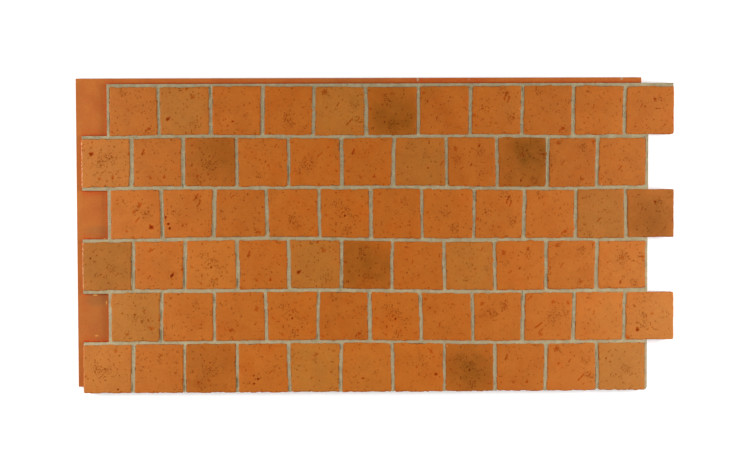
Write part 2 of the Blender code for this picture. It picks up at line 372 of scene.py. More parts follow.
def handTintedTilePaint():
    # Matt acrylic tints sprayed and wiped by hand over moulded polyurethane: saturated
    # terracotta with soft ochre and smoked clouds, and a dark wash left in every pit and
    # along the lower edges. Painted sheen pales it towards the panel's ends, and the upright
    # edges carry painted shade and painted highlights.
    paint = tilePaint
    material, add, place, mark, speckle, ochre, haze, smoke, tone, pool, rub, chip = newMaterial(
        "hand_tinted_tile_paint", "mark speckle ochre haze smoke tone pool rub chip")
    master = add("Attribute", attribute_name="masterPlace").outputs["Vector"]
    noise, spread = growPatterns(add, master, paint["onMaster"])
    panel = growPatterns(add, place, paint["onPanel"])[1]

    # Fine pits: spots of a cell pattern pulled out of shape by noise, as dense as the
    # speckle attribute says
    pulled = add("VectorMath MULTIPLY_ADD", noise["ragged"].outputs["Color"], paint["pull"], master)
    cells = add("TexVoronoi", pulled, 1000 / paint["speckMm"], voronoi_dimensions="2D")
    draws = add("SeparateColor", cells.outputs["Color"]).outputs
    chosen = add("Math LESS_THAN", draws[0], speckle)
    spotSize = add("Math MULTIPLY_ADD", draws[1], *paint["pitRadius"])
    spotEdge = add("Math SUBTRACT", spotSize, cells.outputs["Distance"])
    spotEdge = add("Math MULTIPLY_ADD", spread["ragged"], paint["pitTear"], spotEdge)
    spot = add("MapRange", spotEdge, *paint["pitEdge"])
    for share in (chosen, add("Math MULTIPLY_ADD", draws[2], *paint["pitStrength"])):
        spot = add("Math MULTIPLY", spot, share)

    # A pepper of still smaller specks, thicker where the pits are dense
    pepper = add("MapRange", noise["ragged"], *paint["pepper"])
    pepperShare = add("Math MULTIPLY_ADD", speckle, *paint["pepperShare"])
    pepper = add("Math MULTIPLY", pepper, pepperShare, use_clamp=True)
    spot = add("Math MAXIMUM", spot, pepper)

    # Bigger marks come with the mesh and get their ragged outline here
    torn = add("Math MULTIPLY", mark, add("Math MULTIPLY_ADD", spread["ragged"], *paint["markTear"]))
    worn, deep, core = [add("MapRange", torn, *paint[name]) for name in ("worn", "deep", "core")]

    # The wash that lies along the edges, with painted shade on the upright edges that face away from
    # the nearer lamp, broken up, and between it the scuffs and painted highlights
    pooledAndShaded = add("MapRange", add("Math ADD", pool, panel["nibble"]), *paint["pooledAndShaded"])
    rubbedAndLit = add("Math MULTIPLY", rub, add("MapRange", panel["nibble"], *paint["rubbedAndLit"]))
    washedAndShaded = deep
    for share in (spot, pooledAndShaded):
        washedAndShaded = add("Math MAXIMUM", washedAndShaded, share)

    # Sprayed clouds and mottling, as a factor on the colour
    shade = add("Math MULTIPLY_ADD", tone, paint["toneStep"], panel["cloudy"])
    for share in (spread["mottle"], spread["grain"]):
        shade = add("Math ADD", shade, share)
    ochred, smoked = [add("Math MULTIPLY", share, panel["drift"], use_clamp=True)
                      for share in (ochre, smoke)]

    # body with redder and ochre clouds, and the painted sheen towards the ends
    colour = linear(paint["body"])
    for share, name in ((panel["flush"], "flush"), (ochred, "ochre"), (haze, "haze")):
        colour = add("Mix", share, colour, linear(paint[name]), data_type="RGBA")
    colour = add("VectorMath SCALE", colour, shade)
    for share, name, blend in (
            (smoked, "smoke", "MIX"), (worn, "blush", "MULTIPLY"), (washedAndShaded, "wash", "MULTIPLY"),
            (core, "pit", "MIX"), (rubbedAndLit, "rub", "MIX"), (chip, "chip", "MIX")):
        colour = add("Mix", share, colour, linear(paint[name]), data_type="RGBA",
                     blend_type=blend)

    ofGrain, ofWorn = paint["reliefShares"]
    relief = add("Math SUBTRACT", add("Math MULTIPLY", noise["grain"], ofGrain), spot)
    relief = add("Math MULTIPLY_ADD", worn, ofWorn, relief)
    roughness = add("MapRange", spread["mottle"], -0.05, 0.05, *paint["roughness"])
    finishSurface(add, colour, roughness, paint["gloss"], relief, *paint["relief"])
    return material


groutPaint = {
    "sand": "#a59573",
    "pale": "#b9ab87",
    # dirt, and painted shade in the upright joints
    "dirtAndShade": "#574d32",
    "warm": "#9c6d44",  # tint that crept over from the tiles
    "patterns": {
        "patches": (14.0, 4.0, 0.6, 0.35, 0.65),
        "grit": (1.5, 3.0, 0.6, 0.35, 0.65, 0.4, 1.3),
    },
    "dark": (0.54, 0.72, 0.0, 0.5),  # dark grains in the sand
    "relief": (0.0006, 0.9),
    "roughness": 0.92,
    "gloss": 0.2,
}


def sandedGroutPaint():
    # Matt grey-beige grout paint with fine sand in it: dull and gritty, paler where it is
    # thick, dirty in the low places, darker towards the top, with painted shade in the upright
    # joints, and warm where the tiles' tint crept over it.
    paint = groutPaint
    material, add, place, stain, creep = newMaterial("sanded_grout_paint", "stain creep")
    noise, spread = growPatterns(add, place, paint["patterns"])
    dark = add("MapRange", noise["grit"], *paint["dark"])
    stained = add("Math MULTIPLY_ADD", stain, spread["grit"], dark, use_clamp=True)
    colour = linear(paint["sand"])
    for share, name in ((spread["patches"], "pale"), (creep, "warm"), (stained, "dirtAndShade")):
        colour = add("Mix", share, colour, linear(paint[name]), data_type="RGBA")
    finishSurface(add, colour, paint["roughness"], paint["gloss"], noise["grit"], *paint["relief"])
    return material


baseCoat = {
    "body": "#b56a2f",
    "deep": "#ae602c",  # in soft clouds
    "foot": "#b83c0e",  # wash at the foot of a step, and painted shade there
    "scuff": "#dca552",  # chips down to the primer
    "smoke": "#7a5a34",
    "drop": "#a89b7c",  # spilt grout
    "patterns": {
        "clouds": (45.0, 3.0, 0.5, 0.35, 0.65),
        "pebble": (5.0, 3.0, 0.5, 0.35, 0.65, 0.4, 1.4),
        "grain": (2.2, 3.0, 0.5, 0.3, 0.7, 0.93, 1.07),
    },
    "relief": (0.0003, 0.5),
    "roughness": (0.48, 0.6),
    "gloss": 0.05,
}


def mouldedBaseCoat():
    # In-mould base coat on smooth polyurethane skin: the tiles' orange with little wash,
    # even and satin, deeper in soft clouds, and at the foot of each step deeper with wash and
    # painted shade.
    paint = baseCoat
    material, add, place, foot, scuff, smoke, drop = newMaterial(
        "moulded_base_coat", "foot scuff smoke drop")
    noise, spread = growPatterns(add, place, paint["patterns"])
    # scuffs, and the foot's wash and painted shade, broken up by the pebble noise
    scuffed, footWashAndShade = [add("Math MULTIPLY", share, spread["pebble"], use_clamp=True)
                       for share in (scuff, foot)]
    colour = linear(paint["body"])
    for share, name in ((spread["clouds"], "deep"), (footWashAndShade, "foot")):
        colour = add("Mix", share, colour, linear(paint[name]), data_type="RGBA")
    colour = add("VectorMath SCALE", colour, spread["grain"])
    for share, name in ((smoke, "smoke"), (scuffed, "scuff"), (drop, "drop")):
        colour = add("Mix", share, colour, linear(paint[name]), data_type="RGBA")
    roughness = add("MapRange", spread["clouds"], 0.0, 1.0, *paint["roughness"])
    finishSurface(add, colour, roughness, paint["gloss"], noise["pebble"], *paint["relief"])
    return material


foamSkin = {
    "body": "#c9a86a",
    "dark": "#a9824a",
    "overspray": "#b5652c",
    "patterns": {
        "clouds": (70.0, 5.0, 0.5, 0.35, 0.65),
        "cells": (2.4, 3.0, 0.5),
        "drops": (8.0, 5.0, 0.7, 0.3, 0.7, -0.5, 0.5),
    },
    "sprayReach": 0.014,  # in metres, how far in from the plate's edge
    "sprayed": (0.3, 0.9),
    "relief": (0.0005, 0.6),
    "roughness": 0.82,
    "gloss": 0.3,
}


def bareFoamSkin():
    # Free-rise skin of rigid polyurethane foam, which yellows to tan: matt and faintly
    # cellular, with base coat blown round onto it at the edges.
    paint = foamSkin
    material, add, place = newMaterial("bare_foam_skin")
    noise, spread = growPatterns(add, place, paint["patterns"])
    axes = add("SeparateXYZ", place).outputs
    edge = add("Math MINIMUM", *[add("Math SUBTRACT", half, add("Math ABSOLUTE", axis))
                                 for half, axis in zip((plateRight, plateTop), axes)])
    spray = add("MapRange", edge, 0.0, paint["sprayReach"], 1.0, 0.0)
    sprayed = add("MapRange", add("Math ADD", spray, spread["drops"]), *paint["sprayed"])
    colour = linear(paint["body"])
    for share, name in ((spread["clouds"], "dark"), (sprayed, "overspray")):
        colour = add("Mix", share, colour, linear(paint[name]), data_type="RGBA")
    finishSurface(add, colour, paint["roughness"], paint["gloss"], noise["cells"], *paint["relief"])
    return material


# Tile faces. A mark is kind, across, up and size in mm, with the place in percent of the
# tile's side from its lower left corner. The mould repeats a few master tiles.
masterTiles = {
    "plain": "dot 62 72 2.6, dot 35 50 1.8, dot 18 19 1.8, dot 72 25 2, dot 84 14 2, "
        "specks 50 30 22",
    "chevron": "dot 60 50 1.8, dot 74 50 2.6, dot 45 86 2, dot 51 7 2.2, scratch 77 11 5, "
        "patch 82 13 5, specks 85 10 10, patch 7 9 4, specks 28 86 14, dot 10 65 2, "
        "specks 94 68 9",
    "hollow": "hole 17 34 5.5, patch 66 80 6, specks 66 79 10, dot 79 78 2, dot 91 76 2.4, "
        "dot 18 66 2, dot 46 36 1.8, patch 56 98 6, specks 72 25 14",
    "pocked": "dot 20 84 2.2, dot 66 83 2.4, dot 11 39 2, dot 28 33 2.6, hole 42 28 3.2, "
        "dot 32 19 2.6, dot 72 45 2.4, dot 70 33 2.2, dot 18 55 1.8, specks 68 40 10",
    "scratched": "patch 18 89 7, specks 22 88 11, patch 24 58 4, scratch 46 64 4, "
        "scratch 70 28 7, dot 75 14 2.4, specks 85 33 14, scratch 88 34 4, specks 80 62 16, "
        "dot 31 49 2.2, specks 12 42 8",
    "smutted": "patch 48 86 4, dot 30 63 2.8, dot 46 62 2.4, patch 5 54 4.6, dot 34 28 2.4, "
        "dot 71 18 2.4, dot 57 6 2.2, dot 12 13 2.2, specks 50 18 16, specks 40 72 14",
    "sparse": "dot 16 68 3, dot 32 69 2.2, dot 26 60 2.8, scratch 35 34 4, dot 82 36 2.4, "
        "dot 95 51 2.4, patch 8 86 5, dot 20 11 1.8",
    "combed": "scratch 68 80 8, scratch 74 72 6, specks 66 85 17, specks 25 55 12, "
        "dot 21 53 2.8, dot 33 48 2.6, patch 5 40 5, patch 10 19 4, patch 38 25 4, "
        "dot 37 17 2.6, specks 80 33 15, patch 85 35 4",
    "quiet": "dot 53 76 2.4, scratch 39 58 4, dot 50 36 2, dot 62 16 2.4, dot 87 41 2, "
        "dot 23 79 2",
    "comet": "hole 59 74 3.8, dot 69 82 2.6, dot 73 70 2.6, scratch 32 60 4, dot 78 53 2, "
        "dot 44 12 2.2, dot 78 17 2.6, specks 72 74 9",
    "pitted": "dot 23 93 3, dot 3 85 3, dot 21 80 2.4, hole 21 69 6, specks 40 48 22, "
        "specks 55 60 20, dot 59 59 2.8, tear 65 20 4.6, patch 37 18 5, patch 98 68 4, "
        "specks 35 30 14",
    "tear": "dot 20 95 2.6, patch 20 70 5, scratch 21 72 5, tear 64 20 4.6, dot 51 75 2, "
        "patch 36 19 4, dot 27 83 2, patch 97 70 4, specks 20 70 8",
    "peppered": "dot 15 70 2.8, dot 34 70 2.4, dot 54 57 2.4, specks 48 42 20, dot 46 24 2.8, "
        "patch 25 21 5, specks 30 15 15, specks 78 12 10, dot 42 48 2.4",
    "veined": "dot 5 90 3, dot 30 60 2.2, dot 44 62 2.2, scratch 60 66 5, dot 10 37 2.2, "
        "dot 20 27 2.8, patch 94 56 3, patch 93 31 4, specks 35 45 20, specks 16 30 9",
    "sanded": "dot 15 60 2.6, dot 50 65 2.2, patch 61 43 4, scratch 77 85 4, dot 40 85 1.8, "
        "dot 82 50 1.8, specks 85 45 10, specks 45 25 12",
    "dashed": "dot 66 37 3.6, dot 41 80 2.2, dot 90 87 2.4, scratch 93 47 5, specks 30 82 12, "
        "specks 60 62 14, dot 30 8 2",
    "gnawed": "patch 16 77 6, patch 66 84 5, dot 45 62 2.4, dot 64 66 2.4, tear 49 45 3.6, "
        "scratch 29 37 4, specks 22 55 14, specks 66 72 14, dot 82 27 2",
    "crazed": "specks 50 64 26, patch 50 66 5, patch 92 66 5, specks 90 68 12, dot 27 32 2.4, "
        "hole 47 13 3.2, specks 25 22 15, specks 75 14 14, dot 20 55 2.6",
    "starred": "patch 19 90 5, specks 22 90 10, scratch 29 49 4, dot 7 35 2.4, specks 72 82 13, "
        "patch 93 94 5, patch 72 15 5, dot 80 7 2.6, dot 51 25 2, specks 70 15 10",
    "scuffed": "dot 14 80 2.6, patch 59 69 7, patch 46 55 5, scratch 54 39 5, specks 72 50 14, "
        "hole 81 24 6, patch 31 16 4, dot 33 26 2.4, specks 55 60 14, patch 44 2 4, "
        "patch 62 1 4",
    "punched": "pin 4.5 43 3.2, pin 10 29 3.6, pin 12.5 20 3.6, dot 21 56 2.6, dot 33 46 2.4, "
        "patch 39 24 4, scratch 66 84 7, scratch 72 70 6, dot 76 58 2.6, specks 70 80 14, "
        "specks 28 50 12",
    "three": "pin 31 35 2.4, pin 39.5 28 3.4, pin 31 18.5 3, scratch 65 42 4, dot 26 34 1.8, "
        "dot 18 86 2, patch 45 99 4, specks 70 50 12",
    "crater": "pin 50 45 2.8, specks 50 55 19, specks 35 68 13, patch 12 46 4, dot 55 78 2.4, "
        "patch 60 20 4, patch 30 12 4, specks 66 42 15, specks 55 14 12",
    "smudged": "scratch 34 86 4, dot 39 59 2.4, dot 74 50 2.2, dot 94 63 2.6, patch 85.5 11 6, "
        "dot 80 16 2.6, dot 50 9 2.2, specks 80 14 10",
    "dusted": "dot 68 82 2.4, patch 60 73 3.4, dot 72 68 2.4, dot 32 64 2.4, dot 27 56 2, "
        "specks 64 74 10",
    "grazed": "patch 9 53 4, dot 36 62 2, dot 49 63 2, dot 13 15 2.2, specks 65 20 15, "
        "specks 45 50 14",
    "clay": "dot 64 86 2.8, dot 65 52 2.4, scratch 46 38 5, dot 27 57 2, dot 86 62 2, "
        "specks 25 12 12",
    "drilled": "dot 30 73 2.6, pin 17 67 2.4, dot 25 60 3, dot 38 33 2.8, dot 44 28 2.8, "
        "dot 33 30 2.2, dot 68 5 3, dot 80 34 2.4, specks 60 45 17",
    "bitten": "patch 33 82 6, dot 64 82 2.2, hole 77 31 4, pin 76 28 3.8, dot 80 35 2.8, "
        "dot 77 21 2.4, dot 77 12 2.2, patch 98 42 5, specks 78 26 8, dot 17 33 1.8",
    "gritty": "specks 45 45 24, patch 68 86 5, dot 33 86 2.4, dot 55 66 2.6, pin 72 8 2.6, "
        "dot 79 3 2.8, specks 30 50 15, dot 10 30 2",
    "chipped": "patch 83.5 65 6, patch 31 22 6, specks 34 21 8, dot 57 85 2.2, scratch 81 35 3, "
        "dot 42 34 1.8, patch 35 2 5, patch 20 23 3",
    "clustered": "dot 48 56 3.4, patch 67 62 4, dot 76 44 2.8, patch 82 26 7, specks 72 40 16, "
        "patch 32 15 4, specks 33 20 10, specks 50 48 14, patch 98 44 4",
    "spotted": "patch 18 77 6, specks 35 55 20, dot 66 83 3, dot 64 77 2.8, dot 68 72 2.6, "
        "specks 62 70 13",
    "creased": "scratch 30 32 7, patch 34 14 6, scratch 36 22 4, patch 58 81 5, patch 90 78 5, "
        "scratch 10 90 5, specks 60 50 24, specks 85 60 14, dot 91 60 2.6",
    "speckled": "dot 18 70 3.4, patch 55 55 4, dot 43 48 2.8, hole 25 21 5.5, dot 24 35 2.8, "
        "specks 40 32 16, dot 55 26 2.8, dot 46 22 2.8, dot 77 58 2.4, patch 5 5 6, "
        "specks 35 52 12",
    "flecked": "patch 75.5 84 6, specks 58 72 14, patch 47 52 4, dot 80 72 2.6, hole 85 36 4, "
        "dot 74 37 2.2, dot 66 34 2.6, specks 66 55 10",
    "brushed": "dot 5 60 2.6, dot 5 86 2.2, scratch 52 76 4, dot 20 54 1.8, dot 84 40 2.2, "
        "dot 43 27 2, specks 50 70 12",
}
courseMasters = [
    "chevron hollow pocked plain scratched smutted sparse combed chevron quiet comet",
    "pitted tear peppered sanded veined tear dashed gnawed crazed starred clay",
    "scuffed punched smudged plain crater dusted grazed combed chevron clay comet",
    "drilled bitten crater tear hollow smutted quiet sanded gnawed starred crazed",
    "clustered dusted chipped crater chevron crater sparse spotted creased quiet speckled",
    "gritty brushed peppered three brushed pocked flecked crater tear scratched drilled",
]


def readRows(text):
    # rows of course, tile and then hundredths, with commas between them
    rows = [[int(word) for word in row.split()] for row in text.split(",")]
    return [(course, tile, *[share / 100 for share in shares]) for course, tile, *shares in rows]


# Clouds sprayed over single tiles: across, up, radius and strength
ochreClouds = readRows(
    "1 2 40 55 75 85, 1 5 55 55 80 90, 1 8 90 60 45 35, 2 1 60 45 80 60, 2 7 55 45 85 65, "
    "3 8 60 50 80 10, 3 10 55 35 85 75, 4 1 50 50 90 75, 4 3 60 40 80 35, 4 5 45 50 85 85, "
    "4 8 50 50 85 75, 4 11 70 40 60 20, 5 1 50 50 90 95, 5 10 80 40 50 40, 5 11 70 35 70 60, "
    "6 1 45 50 80 55, 6 5 50 45 85 90, 6 6 60 35 70 40, 6 11 50 45 90 100")
smokeClouds = readRows(
    "1 6 56 32 50 30, 1 6 50 50 90 28, 1 7 5 85 35 15, 2 3 70 75 55 22, 2 3 50 50 90 22, "
    "2 9 70 75 50 28, 2 9 60 45 85 34, 3 11 50 35 50 25, 3 11 60 55 90 22, 4 1 60 60 90 28, "
    "4 6 25 70 45 20, 4 6 85 40 45 22, 4 6 10 10 35 18, 4 6 50 50 90 24, 5 1 50 50 80 8, "
    "6 3 35 60 70 14, 6 3 60 40 90 10, 6 8 40 60 55 18, 6 8 60 25 60 20, 6 8 50 50 90 16")
tileForm = {
    "rollWidth": 0.0034,  # how far the eased edge reaches in
    "rollDrop": 0.0016,
    "levelRoll": 0.5,  # share of it along the bed joints
    "wallLean": 0.0004,
    "innerCells": 52,
    "edgeLines": (0.0, 0.0004, 0.0007, 0.0011, 0.0017, 0.0025, 0.0036, 0.0050),
    "ripple": 0.0020,
    "rippleFall": 0.9,  # how fast the shorter waves get lower
    "bite": 0.0030,
    "mostInwards": 0.0014,  # not past the grout that is tucked under the tile
    "rippleWaves": range(5, 58, 2),  # waves in one round of the tile's outline
    "rippleFade": 0.006,
    "uneven": 0.00014,  # slow waves of the pressed face
    "nibbleDepth": 0.0014,
    "sunk": 0.0006,  # how far an outer left side reaches into the flange
    "wash": (0.45, 0.45, 1.00, 0.50),  # left, right, bottom, top
    "washWidth": (0.0026, 0.0026, 0.0036, 0.0030),
    "paintedEdgeShade": 0.5,  # painted shade: more wash on the upright edge that faces away from the panel's nearer end and its lamp
    "rubWidth": 0.0018,
    "leftRubWidth": 0.0038,
    "paintedEdgeHighlight": 0.34,  # painted highlight: paler on the upright edge that faces the nearer end and its lamp
    # painted sheen at the panel's ends, as a share
    "sheenAtEnds": 0.35,
    "strayPits": 0.09,
    "specks": 0.66,
    "markScale": {"dot": 1.15, "hole": 1.8, "pin": 1.7, "tear": 1.6, "patch": 1.6, "scratch": 1.3},
    "markDepth": 0.0005,
    "slowWaves": (0.038, 0.017),  # spacing of the face's slow waves
    "nibbleCell": 0.006,
    "nibbleWidth": 0.0035,
    "biteCell": 0.0055,
    "biteFade": 0.003,
    "outerRipple": (0.8, 0.3),  # share of the ripple on the lowest side and on other outer sides
    "outerWidth": 0.006,
    "rollBlend": 0.005,  # where the two rolls meet at a corner
    "unevenFade": 0.004,
    "nibbleFrom": 0.3,  # only noise above it nibbles, or bites
    "biteFrom": 0.35,
    "markFade": 0.001,
    "rightSheen": 0.5,  # how much less of the painted sheen the upper right has
    "footOverlap": 0.0002,  # how far above the lap a tile's foot starts
    "inBox": 2e-5,  # kept inside the solid's box
    "endReach": 0.6,  # from the panel's middle to its ends
}
tones = np.random.default_rng(7).uniform(-1, 1, size=(rows, columns))
tones += np.linspace(-1.6, 1.6, rows)[:, None]  # a little paler towards the bottom
toneShifts = {(1, 2): -1.5, (1, 4): 1, (1, 9): -2, (2, 1): 2, (2, 6): -2, (2, 7): -3, (2, 8): -2,
              (2, 9): -3.5, (2, 10): -2, (2, 11): -1, (3, 1): 1, (3, 2): 1.5, (3, 6): -2,
              (3, 10): -3, (3, 11): -2, (4, 3): 4, (4, 11): 1, (5, 3): 1, (5, 4): 1,
              (5, 5): -1.5, (5, 9): 2, (5, 10): 3, (5, 11): 2, (6, 1): 1.5, (6, 2): -1,
              (6, 5): 1, (6, 6): 1.5, (6, 7): 1, (6, 10): 1}
for (course, tile), shift in toneShifts.items():
    tones[course - 1, tile - 1] += shift
rubbedLeftSides = {1: 1.0, 3: 0.85, 5: 0.3}  # courses whose outer left edge is scuffed pale and has a painted highlight
# Chips down to the pale primer: (course, tile, across, up, size in mm)
tileChips = [
    (2, 11, 0.07, 0.04, 1.3), (5, 10, 0.09, 0.02, 1.8), (6, 8, 0.04, 0.95, 1.3),
    (6, 9, 0.01, 0.53, 1.3),
]


def sideOffset(error, share):
    # shift + lean a + bow (1 - a^2), with a from -1 to 1 along the side
    along = 2 * share - 1
    return error[0] + error[1] * along + error[2] * (1 - along**2)


def strayShift(x, y, errors):
    # how far a point of the true square moves with the sides of its hand-laid tile
    across, up = x / tileSide, y / tileSide
    dx = (-sideOffset(errors[leftSide], up) * (1 - across)
          + sideOffset(errors[rightSide], up) * across)
    dy = (-sideOffset(errors[bottomSide], across) * (1 - up)
          + sideOffset(errors[topSide], across) * up)
    return dx, dy


def cornerRadiusAt(x, y, radii):
    # radii run anticlockwise from the upper right corner
    right, top = x > tileSide / 2, y > tileSide / 2
    return np.where(top, np.where(right, radii[0], radii[1]), np.where(right, radii[3], radii[2]))


def roundCorners(x, y, radii):
    # Each square corner of the grid is pressed into a quarter disc: with p and q the
    # shares of the way into the corner, they become p sqrt(1 - q^2/2) and q sqrt(1 - p^2/2).
    half = tileSide / 2
    radius = cornerRadiusAt(x, y, radii)
    p = np.clip((np.abs(x - half) - half + radius) / radius, 0, None)
    q = np.clip((np.abs(y - half) - half + radius) / radius, 0, None)
    newX = x - np.sign(x - half) * radius * p * (1 - np.sqrt(1 - np.minimum(q, 1)**2 / 2))
    newY = y - np.sign(y - half) * radius * q * (1 - np.sqrt(1 - np.minimum(p, 1)**2 / 2))
    return newX, newY


def insideDistance(x, y, radii):
    # distance from a rounded square's outline, positive inside
    half = tileSide / 2
    radius = cornerRadiusAt(x, y, radii)
    qx = np.abs(x - half) - half + radius
    qy = np.abs(y - half) - half + radius
    outside = np.hypot(np.maximum(qx, 0), np.maximum(qy, 0))
    return radius - outside - np.minimum(np.maximum(qx, qy), 0)


def edgeRipple(x, y, seed):
    # Small waves of the outline: sines of the bearing from the tile's middle, lower the
    # more of them go round.
    draw = np.random.default_rng(seed)
    bearing = np.arctan2(y - tileSide / 2, x - tileSide / 2)
    ripple = np.zeros_like(x)
    for wave in tileForm["rippleWaves"]:
        ripple += draw.normal() * np.sin(wave * bearing + draw.uniform(0, 2 * np.pi)) / (
            wave**tileForm["rippleFall"])
    return ripple * tileForm["ripple"]


def markPits(kind, size, draw):
    # A mark as round pits about its middle: (across, up, radius, strength)
    if kind == "hole":  # a ragged hollow with five uneven lobes
        lobes = [(reach * size * math.cos(turn), reach * size * math.sin(turn),
                  (0.32 - 0.35 * reach) * size, 1.05)
                 for reach, turn in zip(draw.uniform(0.18, 0.5, 5), draw.uniform(0, 2 * np.pi, 5))]
        return [(0.0, 0.0, 0.28 * size, 1.55)] + lobes
    if kind == "pin":  # a deep round hole full of wash
        return [(0.0, 0.0, 0.38 * size, 1.9)]
    if kind == "tear":  # a drop that hangs down
        return [(0.10 * size, 0.70 * size, 0.16 * size, 0.6),
                (0.06 * size, 0.35 * size, 0.26 * size, 0.7),
                (0.0, -0.15 * size, 0.40 * size, 0.85)]
    if kind == "patch":  # a soft smudge drawn out to a few sides
        spots = [(0.42 * size * math.cos(turn), 0.42 * size * math.sin(turn), 0.2 * size, 0.66)
                 for turn in draw.uniform(0, 2 * np.pi, 4)]
        return [(0.0, 0.0, 0.36 * size, 0.62)] + spots
    if kind == "scratch":  # a broken stroke that rises to the right
        lean = math.radians(56) + 0.25 * draw.normal()
        return [(share * size * math.cos(lean) + 0.05 * size * draw.normal(),
                 share * size * math.sin(lean), 0.17 * size + 0.0004, 0.85)
                for share in (-0.8, -0.42, 0.0, 0.38, 0.8)]
    return [(0.0, 0.0, 0.5 * size, 1.0)]


def markFields(x, y, marks, seed):
    # Strength and depth of the bigger marks, and density of the fine pits. A pit is a cone:
    # its strength falls with the distance from its middle over its radius.
    draw = np.random.default_rng(seed)
    mark, depth, speckle = np.zeros_like(x), np.zeros_like(x), np.zeros_like(x)
    for words in map(str.split, marks.split(",")):
        kind, (across, up, size) = words[0], map(float, words[1:])
        dx, dy = x - across / 100 * tileSide, y - up / 100 * tileSide
        if kind == "specks":
            stretch, turn = draw.uniform(1, 1.5), draw.uniform(0, np.pi)
            along = dx * math.cos(turn) + dy * math.sin(turn)
            beside = -dx * math.sin(turn) + dy * math.cos(turn)
            far = np.hypot(along, stretch * beside) * 1000 / size
            speckle = np.maximum(speckle, tileForm["specks"] * smooth(1.2 - far))
            continue
        pits = markPits(kind, size * tileForm["markScale"][kind] / 1000, draw)
        for pitX, pitY, radius, strength in pits:
            far = np.hypot(dx - pitX, dy - pitY) / radius
            mark = np.maximum(mark, strength * np.clip(1.485 - far, 0, 1))
            depth = np.maximum(depth, strength**2 * tileForm["markDepth"] * smooth(1.3 - far))
    return mark, depth, speckle


def cloudField(x, y, blobs):
    # soft round clouds, added up: each falls smoothly with distance over radius
    field = np.zeros_like(x)
    for across, up, radius, strength in blobs:
        far = np.hypot(x - across * tileSide, y - up * tileSide) / (radius * tileSide)
        field = field + strength * smooth(1.35 - far)
    return np.clip(field, 0, 1)


def tileLines():
    # grid lines across a tile: close together at its edges, even between them
    lines = np.array(tileForm["edgeLines"])
    inner = np.linspace(lines[-1], tileSide - lines[-1], tileForm["innerCells"] + 1)[1:-1]
    return np.concatenate([lines, inner, tileSide - lines[::-1]])


